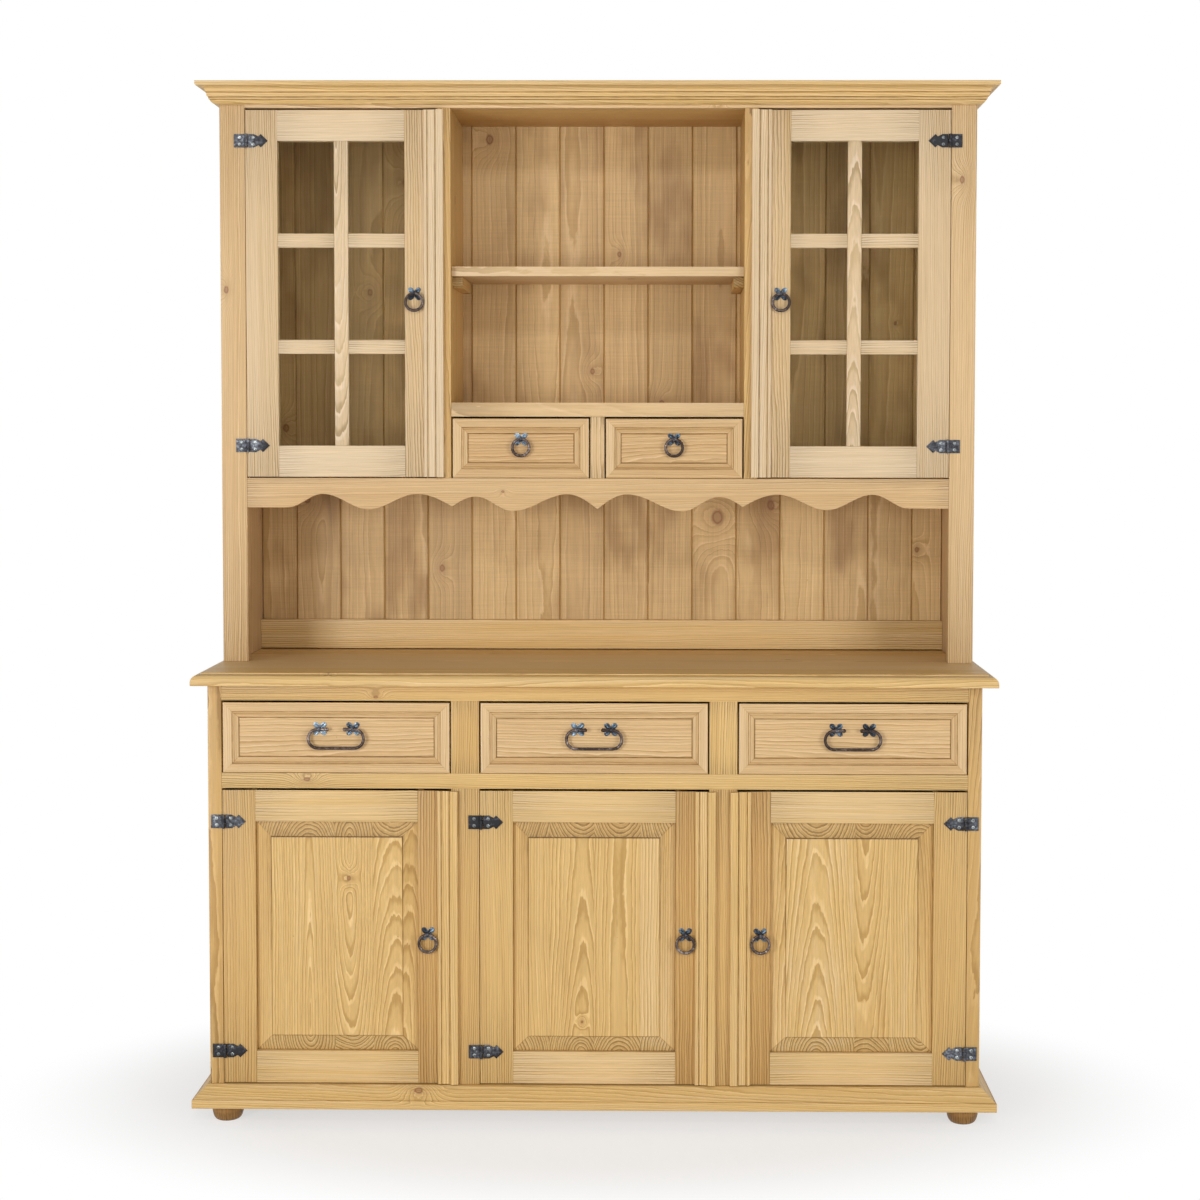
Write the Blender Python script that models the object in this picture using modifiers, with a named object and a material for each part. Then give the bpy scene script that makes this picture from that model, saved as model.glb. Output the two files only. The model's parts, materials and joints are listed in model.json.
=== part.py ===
"""Pine dresser: a base with three drawers over three panelled cupboards, and a hutch with two glazed
cupboards, an open compartment over two small drawers, and a niche behind a scalloped valance.

Metres, +Z up, front towards -Y, origin on the floor under the middle of the overall box."""

import math

import bmesh
import bpy
from mathutils import Matrix, Vector

# Fits
FIT = 0.0003            # clearance between pieces that touch
REVEAL = 0.0025          # gap round doors and drawer fronts
SINK = 0.0005           # how far ironwork and strips are let into the wood that carries them

# Base
BASE_WIDTH = 1.4946
BASE_DEPTH = 0.437
BASE_SIDE_T = 0.026
BASE_STILE_W = 0.054
PARTITION_T = 0.020
BASE_BACK_T = 0.008
BOTTOM_T = 0.026
FOOT_HEIGHT = 0.036     # floor to the underside of the plinth
FOOT_RADIUS = 0.0305
FOOT_NECK_RADIUS = 0.022
FOOT_INSET = 0.0293     # foot centre to the outside of the base
PLINTH_HEIGHT = 0.0405
PLINTH_PROJECTION = 0.0303
CUPBOARD_HEIGHT = 0.5795
MID_RAIL_H = 0.0295
DRAWER_ROW_HEIGHT = 0.141
TOP_RAIL_H = 0.0309
RUNNER_W = 0.016        # ledge under the sides of each large drawer
RUNNER_H = 0.020

# Countertop
COUNTER_T = 0.0238
COUNTER_OVERHANG = 0.0277
COUNTER_EDGE_W = 0.0173

# Hutch
HUTCH_OVERSAIL = 0.0073  # hutch beyond the base at each end
HUTCH_DEPTH = 0.261
HUTCH_SIDE_T = 0.029
HUTCH_STILE_W = 0.050
HUTCH_PARTITION_T = 0.027
COMPARTMENT_WIDTH = 0.587
NICHE_HEIGHT = 0.3438    # countertop to the underside of the deck
DECK_T = 0.027
GLAZED_HEIGHT = 0.7374   # opening of the glazed cupboards
SMALL_ROW_HEIGHT = 0.1236
COMPARTMENT_FLOOR_T = 0.0282
DIVIDER_T = 0.028
SHELF_RISE = 0.2535     # compartment floor to the underside of the shelf
SHELF_T = 0.019
SHELF_SETBACK = 0.015
CLEAT_W = 0.020
CLEAT_H = 0.022
CLEAT_LENGTH = 0.180
CLEAT_SETBACK = 0.035
HUTCH_TOP_T = 0.020
FRIEZE_H = 0.006       # strip of top rail that shows under the cornice
CORNICE_HEIGHT = 0.042
CORNICE_PROJECTION = 0.040
CORNICE_LIP = 0.006     # cornice top above the hutch sides
BACKBOARD_T = 0.012
BACKBOARD_PITCH = 0.0938
BACKBOARD_SHIFT = 0.0055
BOARD_GROOVE_W = 0.005
BOARD_GROOVE_D = 0.003
BACK_RAIL_H = 0.0635
BACK_RAIL_T = 0.018

# Scalloped edge of the valance: heights above its lowest point
VALANCE_DROP = 0.066    # deck top to the lowest point
VALANCE_RISE = 0.034
VALANCE_MID_RISE = 0.029
VALANCE_CUSP = 0.009
VALANCE_CENTRE_CUSP = 0.004
VALANCE_OUTER_LOW = 0.003
VALANCE_END = 0.0065
VALANCE_END_FLAT = 0.080
SCALLOP_STEPS = 5

# Doors and drawer fronts
FRAME_T = 0.022
FRAME_W = 0.0625         # stiles and rails of all doors
GROOVE_D = 0.009        # depth of the groove that holds a panel or a glass
PANEL_TONGUE_T = 0.006
PANEL_BACK_SET = 0.009  # door face to the front of the panel groove
PANEL_BEVEL_W = 0.030
PANEL_BEVEL_RISE = 0.0048
PANEL_STEP_W = 0.0012
PANEL_STEP_RISE = 0.0018
MUNTIN_W = 0.028
MUNTIN_T = 0.012
GLASS_T = 0.004
STRIP_ON_DOOR = 0.0248
STRIP_OVERLAP = 0.0155
STRIP_T = 0.010
STRIP_BEAD_R = 0.0042
STRIP_LIFT = 0.0006     # strip clear of the stile that it closes against
DRAWER_BORDER = 0.017
DRAWER_MOULD_W = 0.013
DRAWER_RECESS = 0.007
BOX_WALL = 0.012
BOX_BOTTOM_T = 0.008
BOX_DROP = 0.024        # drawer side below the top of its front
DRAWER_BACK_GAP = 0.024  # drawer box to the back of its case

# Ironwork
HINGE_H = 0.0265
HINGE_INSET = 0.0625     # hinge centre to the end of its door
HINGE_AXIS_IN = 0.0012   # barrel axis to the edge of its door
HINGE_AXIS_OUT = 0.0038  # barrel axis to the door face
BARREL_R = 0.0034
PIN_R = 0.0016
LEAF_T = 0.0018
CASE_LEAF_L = 0.0245
LEAF_SHOULDER = 0.0152  # lengths along the door leaf, from the barrel axis
LEAF_NECK = 0.0245
LEAF_BARB = 0.0290
LEAF_TIP = 0.0430
LEAF_NECK_HALF = 0.0085
ROSETTE_OUT = 0.0162
ROSETTE_IN = 0.0072
ROSETTE_T = 0.0018
PULL_STANDOFF = 0.0095  # pivot of a pull to the face behind it
EYE_WALL = 0.0017
EYE_W = 0.0045
EYE_CLEARANCE = 0.0004
RING_RADIUS = 0.0169    # centre line
RING_WIRE_R = 0.0031
RING_EDGE = 0.0430      # ring centre to the lock edge of its door
DOOR_PULL_RISE = 0.0065  # pivot above the middle of a base door
BAIL_WIRE_R = 0.0030
BAIL_HALF_DROP = 0.0183
BAIL_HALF_LENGTH = 0.0535
BAIL_EYE_X = 0.032
BAIL_END_X = 0.0135
BAIL_BALL_SCALE = 1.3
BAIL_PULL_RISE = 0.015

ROUND = 16              # sides of barrels and eyes
BORE = 12               # sides of pins and bores

# Levels
FLOOR_Z = FOOT_HEIGHT + PLINTH_HEIGHT
MID_RAIL_Z = FLOOR_Z + CUPBOARD_HEIGHT
DRAWER_Z = MID_RAIL_Z + MID_RAIL_H
TOP_RAIL_Z = DRAWER_Z + DRAWER_ROW_HEIGHT
COUNTER_Z = TOP_RAIL_Z + TOP_RAIL_H
COUNTER_TOP_Z = COUNTER_Z + COUNTER_T
DECK_Z = COUNTER_TOP_Z + NICHE_HEIGHT
DECK_TOP_Z = DECK_Z + DECK_T
COMPARTMENT_Z = DECK_TOP_Z + SMALL_ROW_HEIGHT
COMPARTMENT_TOP_Z = COMPARTMENT_Z + COMPARTMENT_FLOOR_T
SHELF_Z = COMPARTMENT_TOP_Z + SHELF_RISE
CEILING_Z = DECK_TOP_Z + GLAZED_HEIGHT
CORNICE_Z = CEILING_Z + FRIEZE_H
CORNICE_TOP_Z = CORNICE_Z + CORNICE_HEIGHT
HUTCH_TOP_Z = CORNICE_TOP_Z - CORNICE_LIP

# Depths
BACK_Y = (BASE_DEPTH + PLINTH_PROJECTION) / 2
BASE_FRONT_Y = BACK_Y - BASE_DEPTH
BASE_INNER_Y = BASE_FRONT_Y + FRAME_T + FIT
BASE_REAR_Y = BACK_Y - BASE_BACK_T - FIT
HUTCH_FRONT_Y = BACK_Y - HUTCH_DEPTH
HUTCH_INNER_Y = HUTCH_FRONT_Y + FRAME_T + FIT
HUTCH_REAR_Y = BACK_Y - BACKBOARD_T - FIT

# Widths
BASE_HALF = BASE_WIDTH / 2
BASE_INNER_X = BASE_HALF - BASE_SIDE_T
BASE_OPENING_W = (2 * BASE_INNER_X - 2 * BASE_STILE_W) / 3
BASE_BAY_X = BASE_OPENING_W + BASE_STILE_W      # spacing of the three bays
HUTCH_HALF = BASE_HALF + HUTCH_OVERSAIL
HUTCH_INNER_X = HUTCH_HALF - HUTCH_SIDE_T
HUTCH_OPENING_X = HUTCH_HALF - HUTCH_STILE_W
COMPARTMENT_HALF = COMPARTMENT_WIDTH / 2
PARTITION_OUT_X = COMPARTMENT_HALF + HUTCH_PARTITION_T
SMALL_OPENING_W = (COMPARTMENT_WIDTH - DIVIDER_T) / 2
SMALL_BAY_X = (SMALL_OPENING_W + DIVIDER_T) / 2


def clear_scene():
    for old in list(bpy.data.objects):
        bpy.data.objects.remove(old, do_unlink=True)


def new_collection(name):
    collection = bpy.data.collections.new(name)
    bpy.context.scene.collection.children.link(collection)
    return collection


clear_scene()
PARTS = new_collection("pine_dresser")
TOOLS = new_collection("cutters_and_joins")


def finish(name, colour, roughness, metallic=0.0):
    """A plain Principled material."""
    material = bpy.data.materials.new(name)
    material.use_nodes = True
    shader = material.node_tree.nodes["Principled BSDF"]
    shader.inputs["Base Color"].default_value = (*colour, 1.0)
    shader.inputs["Roughness"].default_value = roughness
    shader.inputs["Metallic"].default_value = metallic
    return material


PINE = finish("waxed_pine", (0.70, 0.48, 0.20), 0.5)
PALE_PINE = finish("pale_pine", (0.76, 0.57, 0.30), 0.5)
BACK_PINE = finish("sawn_pine", (0.36, 0.22, 0.09), 0.7)
IRON = finish("burnished_iron", (0.10, 0.11, 0.14), 0.45, 0.9)
GLASS = finish("clear_glass", (0.85, 0.90, 0.88), 0.05)


def add_object(name, mesh, material=None):
    """A part when it has a material, and otherwise a hidden cutter or join."""
    obj = bpy.data.objects.new(name, mesh)
    if material:
        PARTS.objects.link(obj)
        mesh.materials.append(material)
    else:
        TOOLS.objects.link(obj)
        obj.hide_render = True
        obj.display_type = "WIRE"
    return obj


def mesh_from(work, name):
    bmesh.ops.recalc_face_normals(work, faces=work.faces)
    mesh = bpy.data.meshes.new(name)
    work.to_mesh(mesh)
    work.free()
    return mesh


def cuboid(low, high):
    """A bmesh box between two opposite corners."""
    low, high = Vector(low), Vector(high)
    work = bmesh.new()
    bmesh.ops.create_cube(work, size=1.0)
    bmesh.ops.scale(work, vec=high - low, verts=work.verts)
    bmesh.ops.translate(work, vec=(low + high) / 2, verts=work.verts)
    return work


def board(name, low, high, material=None):
    return add_object(name, mesh_from(cuboid(low, high), name), material)


def rod(name, radius, start, end, sides, material=None):
    """A capped cylinder between two points."""
    start, end = Vector(start), Vector(end)
    work = bmesh.new()
    bmesh.ops.create_cone(work, cap_ends=True, segments=sides, radius1=radius, radius2=radius,
                          depth=(end - start).length)
    turn = (end - start).to_track_quat("Z", "Y").to_matrix().to_4x4()
    bmesh.ops.transform(work, matrix=Matrix.Translation((start + end) / 2) @ turn, verts=work.verts)
    return add_object(name, mesh_from(work, name), material)


def extrusion(name, outline, low, high, along, material=None):
    """A closed outline swept straight along X, Y or Z from low to high.

    The outline's two numbers are the other two axes in X, Y, Z order."""
    curve = bpy.data.curves.new(name, "CURVE")
    curve.dimensions = "2D"
    curve.fill_mode = "BOTH"
    curve.extrude = (high - low) / 2
    spline = curve.splines.new("POLY")
    spline.points.add(len(outline) - 1)
    for point, (u, v) in zip(spline.points, outline):
        point.co = (u, v, 0.0, 1.0)
    spline.use_cyclic_u = True
    source = bpy.data.objects.new(name + "_outline", curve)
    bpy.context.scene.collection.objects.link(source)
    bpy.context.view_layer.update()
    solid = bpy.data.meshes.new_from_object(source.evaluated_get(bpy.context.evaluated_depsgraph_get()))
    bpy.data.objects.remove(source, do_unlink=True)
    middle = (low + high) / 2
    columns = {
        "X": ((0, 0, 1, middle), (1, 0, 0, 0), (0, 1, 0, 0), (0, 0, 0, 1)),
        "Y": ((1, 0, 0, 0), (0, 0, 1, middle), (0, 1, 0, 0), (0, 0, 0, 1)),
        "Z": ((1, 0, 0, 0), (0, 1, 0, 0), (0, 0, 1, middle), (0, 0, 0, 1)),
    }
    work = bmesh.new()
    work.from_mesh(solid)
    bmesh.ops.remove_doubles(work, verts=work.verts, dist=1e-6)
    bmesh.ops.transform(work, matrix=Matrix(columns[along]), verts=work.verts)
    return add_object(name, mesh_from(work, name), material)


def iron(piece):
    """Ironwork that is joined to a wooden part keeps its own finish."""
    piece.data.materials.append(IRON)
    return piece


def boolean(target, operation, *others):
    for other in others:
        modifier = target.modifiers.new(f"{operation.lower()}_{other.name}", "BOOLEAN")
        modifier.operation = operation
        modifier.material_mode = "TRANSFER"
        modifier.object = other
    return target


def cut(target, *cutters):
    return boolean(target, "DIFFERENCE", *cutters)


def join(target, *pieces):
    return boolean(target, "UNION", *pieces)


def arc(centre, radius, start, end, steps):
    """Points on an arc, angles in degrees."""
    angles = [math.radians(start + (end - start) * i / steps) for i in range(steps + 1)]
    return [(centre[0] + radius * math.cos(a), centre[1] + radius * math.sin(a)) for a in angles]


def pivot(name, location):
    """An empty on a joint's axis."""
    empty = bpy.data.objects.new(name, None)
    empty.location = location
    PARTS.objects.link(empty)
    return empty


def carry(carrier, *pieces):
    """Parents pieces, modelled in place, to the empty that moves them."""
    bpy.context.view_layer.update()
    for piece in pieces:
        piece.parent = carrier
        piece.matrix_parent_inverse = carrier.matrix_world.inverted()


def mitred_moulding(name, profile, half_width, front_y, material):
    """A moulding mitred round the front and both ends: profile lists (projection, height) in order."""
    work = bmesh.new()
    runs = []
    for out, z in profile:
        side, front = half_width + out, front_y - out
        path = ((-side, BACK_Y), (-side, front), (side, front), (side, BACK_Y))
        runs.append([work.verts.new((x, y, z)) for x, y in path])
    for run, following in zip(runs, runs[1:] + runs[:1]):
        for i in range(3):
            work.faces.new((run[i], run[i + 1], following[i + 1], following[i]))
    for end in (0, 3):
        work.faces.new([run[end] for run in runs])
    return add_object(name, mesh_from(work, name), material)


# Carcass of the base

def base_sides():
    for side, name in ((-1, "left"), (1, "right")):
        outer, inner = side * BASE_HALF, side * BASE_INNER_X
        low_x, high_x = sorted((outer, inner))
        panel = board(f"base_side_{name}", (low_x, BASE_FRONT_Y, FLOOR_Z + FIT),
                      (high_x, BACK_Y, COUNTER_Z - FIT), PINE)
        low_x, high_x = sorted((inner + side * BASE_SIDE_T / 2, inner - side * RUNNER_W))
        join(panel, board(f"runner_{name}", (low_x, BASE_INNER_Y, DRAWER_Z - RUNNER_H),
                          (high_x, BASE_REAR_Y, DRAWER_Z)))


def base_partitions():
    """Upright boards behind the inner stiles, each with a ledge and a guide for the drawers beside it."""
    for side, name in ((-1, "left"), (1, "right")):
        centre = side * BASE_BAY_X / 2
        wall, guide = PARTITION_T / 2, BASE_STILE_W / 2
        ledge = guide + RUNNER_W
        low, shelf, top = FLOOR_Z + FIT, DRAWER_Z - RUNNER_H, COUNTER_Z - FIT
        half = [(wall, low), (wall, shelf), (ledge, shelf), (ledge, DRAWER_Z), (guide, DRAWER_Z),
                (guide, DRAWER_Z + RUNNER_H), (wall, DRAWER_Z + RUNNER_H), (wall, top)]
        outline = [(centre + x, z) for x, z in half] + [(centre - x, z) for x, z in reversed(half)]
        extrusion(f"base_partition_{name}", outline, BASE_INNER_Y, BASE_REAR_Y, "Y", PINE)


def turned_foot(name, x, y):
    """A bun foot on a short neck, as a profile turned about Z."""
    neck_z = FOOT_HEIGHT - FIT
    belly_low, belly_high = 0.36 * FOOT_HEIGHT, 0.68 * FOOT_HEIGHT
    base_radius = FOOT_RADIUS - 0.45 * belly_low
    profile = [(0.0, FLOOR_Z - BOTTOM_T / 2), (FOOT_NECK_RADIUS, FLOOR_Z - BOTTOM_T / 2),
               (FOOT_NECK_RADIUS, neck_z), (FOOT_RADIUS - 0.12 * belly_low, 0.86 * neck_z),
               (FOOT_RADIUS, belly_high), (FOOT_RADIUS, belly_low),
               (FOOT_RADIUS - 0.12 * belly_low, 0.3 * belly_low), (base_radius, 0.0), (0.0, 0.0)]
    mesh = bpy.data.meshes.new(name)
    mesh.from_pydata([(r, 0.0, z) for r, z in profile], [(i, i + 1) for i in range(len(profile) - 1)], [])
    foot = add_object(name, mesh)
    foot.location = (x, y, 0.0)
    screw = foot.modifiers.new("turned", "SCREW")
    screw.steps = screw.render_steps = 20
    screw.use_merge_vertices = True
    screw.merge_threshold = 1e-5
    return foot


def base_bottom():
    """The bottom board with its four turned feet."""
    bottom = board("base_bottom_with_feet", (-BASE_HALF, BASE_FRONT_Y, FLOOR_Z - BOTTOM_T),
                   (BASE_HALF, BASE_REAR_Y, FLOOR_Z), PINE)
    foot_x = BASE_HALF - FOOT_INSET
    for x in (-foot_x, foot_x):
        for y in (BASE_FRONT_Y + FOOT_INSET, BASE_REAR_Y - FOOT_RADIUS):
            join(bottom, turned_foot(f"foot_{x:+.2f}_{y:+.2f}", x, y))


def base_back():
    board("base_back", (-BASE_INNER_X + FIT, BACK_Y - BASE_BACK_T, FLOOR_Z + FIT),
          (BASE_INNER_X - FIT, BACK_Y, COUNTER_Z - FIT), BACK_PINE)


def base_face_frame():
    """Top rail, middle rail and inner stiles as one glued frame between the sides."""
    frame = board("base_face_frame", (-BASE_INNER_X + FIT, BASE_FRONT_Y, FLOOR_Z + FIT),
                  (BASE_INNER_X - FIT, BASE_FRONT_Y + FRAME_T, COUNTER_Z - FIT), PINE)
    for bay in (-1, 0, 1):
        left = bay * BASE_BAY_X - BASE_OPENING_W / 2
        right = left + BASE_OPENING_W
        # The outer bays have no stile of their own: they open as far as the sides.
        left -= BASE_SIDE_T if bay == -1 else 0
        right += BASE_SIDE_T if bay == 1 else 0
        for row, (low, high) in (("door", (FLOOR_Z - BOTTOM_T, MID_RAIL_Z)),
                                 ("drawer", (DRAWER_Z, TOP_RAIL_Z))):
            cut(frame, board(f"{row}_opening_{bay}", (left, BASE_FRONT_Y - FRAME_T, low),
                             (right, BASE_FRONT_Y + 2 * FRAME_T, high)))


def plinth():
    """A moulded frame round the foot of the base: bevelled top, upright lower edge."""
    bevel_foot = FOOT_HEIGHT + 0.42 * PLINTH_HEIGHT
    out = PLINTH_PROJECTION
    profile = [(FIT, FOOT_HEIGHT), (out, FOOT_HEIGHT), (out, bevel_foot),
               (0.86 * out, bevel_foot + 0.06 * PLINTH_HEIGHT), (0.55 * out, FLOOR_Z - 0.24 * PLINTH_HEIGHT),
               (0.18 * out, FLOOR_Z), (FIT, FLOOR_Z)]
    mitred_moulding("plinth", profile, BASE_HALF, BASE_FRONT_Y, PINE)


def countertop():
    """A slab whose front and end edges carry a bead and an ovolo."""
    bead = 0.13 * COUNTER_T
    low = 0.28 * COUNTER_T
    edge = [(0.0, 0.0), (0.0, low)]
    edge += [(COUNTER_EDGE_W * 0.8 * (1 - math.cos(a)), low + (COUNTER_T - bead - low) * math.sin(a))
             for a in (math.pi / 8, math.pi / 4, 3 * math.pi / 8, math.pi / 2)]
    edge += [(COUNTER_EDGE_W, COUNTER_T - bead), (COUNTER_EDGE_W, COUNTER_T)]
    work = bmesh.new()
    rings = []
    for inset, rise in edge:
        x, front, z = BASE_HALF + COUNTER_OVERHANG - inset, BASE_FRONT_Y - COUNTER_OVERHANG + inset, COUNTER_Z + rise
        corners = ((-x, BACK_Y), (-x, front), (x, front), (x, BACK_Y))
        rings.append([work.verts.new((cx, cy, z)) for cx, cy in corners])
    for ring, above in zip(rings, rings[1:]):
        for i in range(4):
            work.faces.new((ring[i], ring[(i + 1) % 4], above[(i + 1) % 4], above[i]))
    work.faces.new(rings[0])
    work.faces.new(rings[-1])
    add_object("countertop", mesh_from(work, "countertop"), PINE)


# Carcass of the hutch

def hutch_sides():
    for side, name in ((-1, "left"), (1, "right")):
        low_x, high_x = sorted((side * HUTCH_HALF, side * HUTCH_INNER_X))
        board(f"hutch_side_{name}", (low_x, HUTCH_INNER_Y, COUNTER_TOP_Z + FIT), (high_x, BACK_Y, HUTCH_TOP_Z), PINE)


def hutch_face_frame():
    """Two stiles and a top rail as one glued frame."""
    frame = board("hutch_face_frame", (-HUTCH_HALF, HUTCH_FRONT_Y, COUNTER_TOP_Z + FIT),
                  (HUTCH_HALF, HUTCH_FRONT_Y + FRAME_T, HUTCH_TOP_Z), PINE)
    cut(frame, board("hutch_front_opening", (-HUTCH_OPENING_X, HUTCH_FRONT_Y - FRAME_T, COUNTER_Z),
                     (HUTCH_OPENING_X, HUTCH_FRONT_Y + 2 * FRAME_T, CEILING_Z)))


def hutch_boards():
    """The boards that divide the hutch."""
    board("hutch_top", (-HUTCH_INNER_X + FIT, HUTCH_INNER_Y, CEILING_Z),
          (HUTCH_INNER_X - FIT, HUTCH_REAR_Y, CEILING_Z + HUTCH_TOP_T), PINE)
    board("hutch_deck", (-HUTCH_INNER_X + FIT, HUTCH_INNER_Y, DECK_Z),
          (HUTCH_INNER_X - FIT, HUTCH_REAR_Y, DECK_TOP_Z), PINE)
    for side, name in ((-1, "left"), (1, "right")):
        low_x, high_x = sorted((side * COMPARTMENT_HALF, side * PARTITION_OUT_X))
        board(f"hutch_partition_{name}", (low_x, HUTCH_FRONT_Y, DECK_TOP_Z + FIT),
              (high_x, HUTCH_REAR_Y, CEILING_Z - FIT), PINE)
        low_x, high_x = sorted((side * (COMPARTMENT_HALF - FIT), side * (COMPARTMENT_HALF - CLEAT_W)))
        nose, top = HUTCH_FRONT_Y + CLEAT_SETBACK, SHELF_Z - FIT
        outline = [(nose + CLEAT_LENGTH, top), (nose, top)]
        outline += arc((nose + CLEAT_H / 2, top - CLEAT_H / 2), CLEAT_H / 2, 180, 270, 4)
        outline.append((nose + CLEAT_LENGTH, top - CLEAT_H))
        extrusion(f"shelf_cleat_{name}", outline, low_x, high_x, "X", PINE)
    board("compartment_floor", (-COMPARTMENT_HALF + FIT, HUTCH_FRONT_Y, COMPARTMENT_Z),
          (COMPARTMENT_HALF - FIT, HUTCH_REAR_Y, COMPARTMENT_TOP_Z), PINE)
    board("small_drawer_divider", (-DIVIDER_T / 2, HUTCH_FRONT_Y, DECK_TOP_Z + FIT),
          (DIVIDER_T / 2, HUTCH_REAR_Y, COMPARTMENT_Z - FIT), PINE)
    board("compartment_shelf", (-COMPARTMENT_HALF + FIT, HUTCH_FRONT_Y + SHELF_SETBACK, SHELF_Z),
          (COMPARTMENT_HALF - FIT, HUTCH_REAR_Y, SHELF_Z + SHELF_T), PINE)
    board("niche_back_rail", (-HUTCH_INNER_X + FIT, HUTCH_REAR_Y - BACK_RAIL_T, COUNTER_TOP_Z + FIT),
          (HUTCH_INNER_X - FIT, HUTCH_REAR_Y, COUNTER_TOP_Z + BACK_RAIL_H), PINE)


def hutch_back():
    """Tongued boards, seen as one panel with a groove at each joint."""
    front, half = BACK_Y - BACKBOARD_T, HUTCH_INNER_X - FIT
    outline = [(half, BACK_Y), (-half, BACK_Y), (-half, front)]
    reach = half - BOARD_GROOVE_W
    first = math.ceil((-reach - BACKBOARD_SHIFT) / BACKBOARD_PITCH)
    last = math.floor((reach - BACKBOARD_SHIFT) / BACKBOARD_PITCH)
    for joint in range(first, last + 1):
        x = BACKBOARD_SHIFT + joint * BACKBOARD_PITCH
        outline += [(x - BOARD_GROOVE_W / 2, front), (x, front + BOARD_GROOVE_D), (x + BOARD_GROOVE_W / 2, front)]
    outline.append((half, front))
    extrusion("hutch_back_boards", outline, COUNTER_TOP_Z + FIT, HUTCH_TOP_Z, "Z", BACK_PINE)


def valance():
    """A board under the deck, its lower edge a run of humps, lows and pointed cusps."""
    half = HUTCH_OPENING_X - FIT
    low = DECK_TOP_Z - VALANCE_DROP
    flat = half - VALANCE_END_FLAT
    # Places from the middle out, as shares of the scalloped run, with heights above the lowest point.
    marks = [(0.0, VALANCE_CENTRE_CUSP, "cusp"), (0.096, VALANCE_RISE, "hump"), (0.273, 0.0, "low"),
             (0.391, VALANCE_MID_RISE, "hump"), (0.467, VALANCE_CUSP, "cusp"), (0.580, VALANCE_RISE, "hump"),
             (0.737, VALANCE_OUTER_LOW, "low"), (0.884, VALANCE_RISE, "hump"), (1.0, VALANCE_END, "low")]
    edge = []
    for (share, height, kind), (next_share, next_height, next_kind) in zip(marks, marks[1:]):
        for i in range(SCALLOP_STEPS):
            t = i / SCALLOP_STEPS
            if kind == "cusp":
                blend = math.sin(t * math.pi / 2)
            elif next_kind == "cusp":
                blend = 1 - math.cos(t * math.pi / 2)
            else:
                blend = (1 - math.cos(t * math.pi)) / 2
            edge.append((flat * (share + (next_share - share) * t), low + height + (next_height - height) * blend))
    edge += [(flat, low + VALANCE_END), (half, low + VALANCE_END)]
    outline = [(half, DECK_TOP_Z), (-half, DECK_TOP_Z)]
    outline += [(-x, z) for x, z in reversed(edge[1:])] + edge
    extrusion("valance", outline, HUTCH_FRONT_Y, HUTCH_FRONT_Y + FRAME_T, "Y", PINE)


def cornice():
    """Crown moulding: fillet, cove, step, slanted face and a rounded foot."""
    out, top, tall = CORNICE_PROJECTION, CORNICE_TOP_Z, CORNICE_HEIGHT
    profile = [(FIT, CORNICE_Z), (0.06 * out, CORNICE_Z), (0.28 * out, top - 0.90 * tall),
               (0.42 * out, top - 0.78 * tall), (0.46 * out, top - 0.69 * tall), (0.54 * out, top - 0.45 * tall),
               (0.57 * out, top - 0.43 * tall), (0.63 * out, top - 0.33 * tall), (0.74 * out, top - 0.25 * tall),
               (0.90 * out, top - 0.21 * tall), (0.96 * out, top - 0.20 * tall), (out, top - 0.11 * tall),
               (out, top - 0.02 * tall), (0.98 * out, top), (FIT, top)]
    mitred_moulding("cornice", profile, HUTCH_HALF, HUTCH_FRONT_Y, PINE)


# Ironwork

def hinge_levels(door_z, door_h):
    return (("lower", door_z + HINGE_INSET), ("upper", door_z + door_h - HINGE_INSET))


def case_hinge(name, axis_x, face_y, z, side):
    """Case leaf with the outer knuckles and the pin; side is the way from the barrel to the door."""
    axis_y = face_y - HINGE_AXIS_OUT
    half, knuckle = HINGE_H / 2, HINGE_H / 6
    clear = BARREL_R + FIT
    leaf_points = [(0, half), (-CASE_LEAF_L, half), (-CASE_LEAF_L, -half), (0, -half), (0, -knuckle - FIT),
                   (-clear, -knuckle - FIT), (-clear, knuckle + FIT), (0, knuckle + FIT)]
    hinge = extrusion(name, [(axis_x + side * u, z + v) for u, v in leaf_points],
                      face_y - LEAF_T - FIT, face_y - FIT, "Y", IRON)
    for way in (-1, 1):
        join(hinge, rod(f"{name}_knuckle_{way}", BARREL_R, (axis_x, axis_y, z + way * (knuckle + FIT)),
                        (axis_x, axis_y, z + way * half), ROUND))
    join(hinge, rod(f"{name}_pin", PIN_R, (axis_x, axis_y, z - half + FIT), (axis_x, axis_y, z + half - FIT), BORE))


def door_leaf(name, axis_x, face_y, z, side):
    """Arrow-headed leaf with the middle knuckle, let into the door's face."""
    axis_y = face_y - HINGE_AXIS_OUT
    half, knuckle = HINGE_H / 2, HINGE_H / 6 - FIT
    clear = BARREL_R + 2 * FIT
    upper = [(0, knuckle), (clear, knuckle), (clear, half), (LEAF_SHOULDER, half), (LEAF_NECK, LEAF_NECK_HALF),
             (LEAF_BARB, half), (LEAF_TIP, 0)]
    outline = upper + [(u, -v) for u, v in reversed(upper[:-1])]
    leaf = iron(extrusion(name, [(axis_x + side * u, z + v) for u, v in outline],
                          face_y - LEAF_T, face_y + SINK, "Y"))
    ends = [(axis_x, axis_y, z - knuckle), (axis_x, axis_y, z + knuckle)]
    join(leaf, iron(rod(f"{name}_knuckle", BARREL_R, *ends, ROUND)))
    beyond = [(axis_x, axis_y, z - HINGE_H), (axis_x, axis_y, z + HINGE_H)]
    cut(leaf, rod(f"{name}_bore", PIN_R + FIT, *beyond, BORE))
    return leaf


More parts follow.
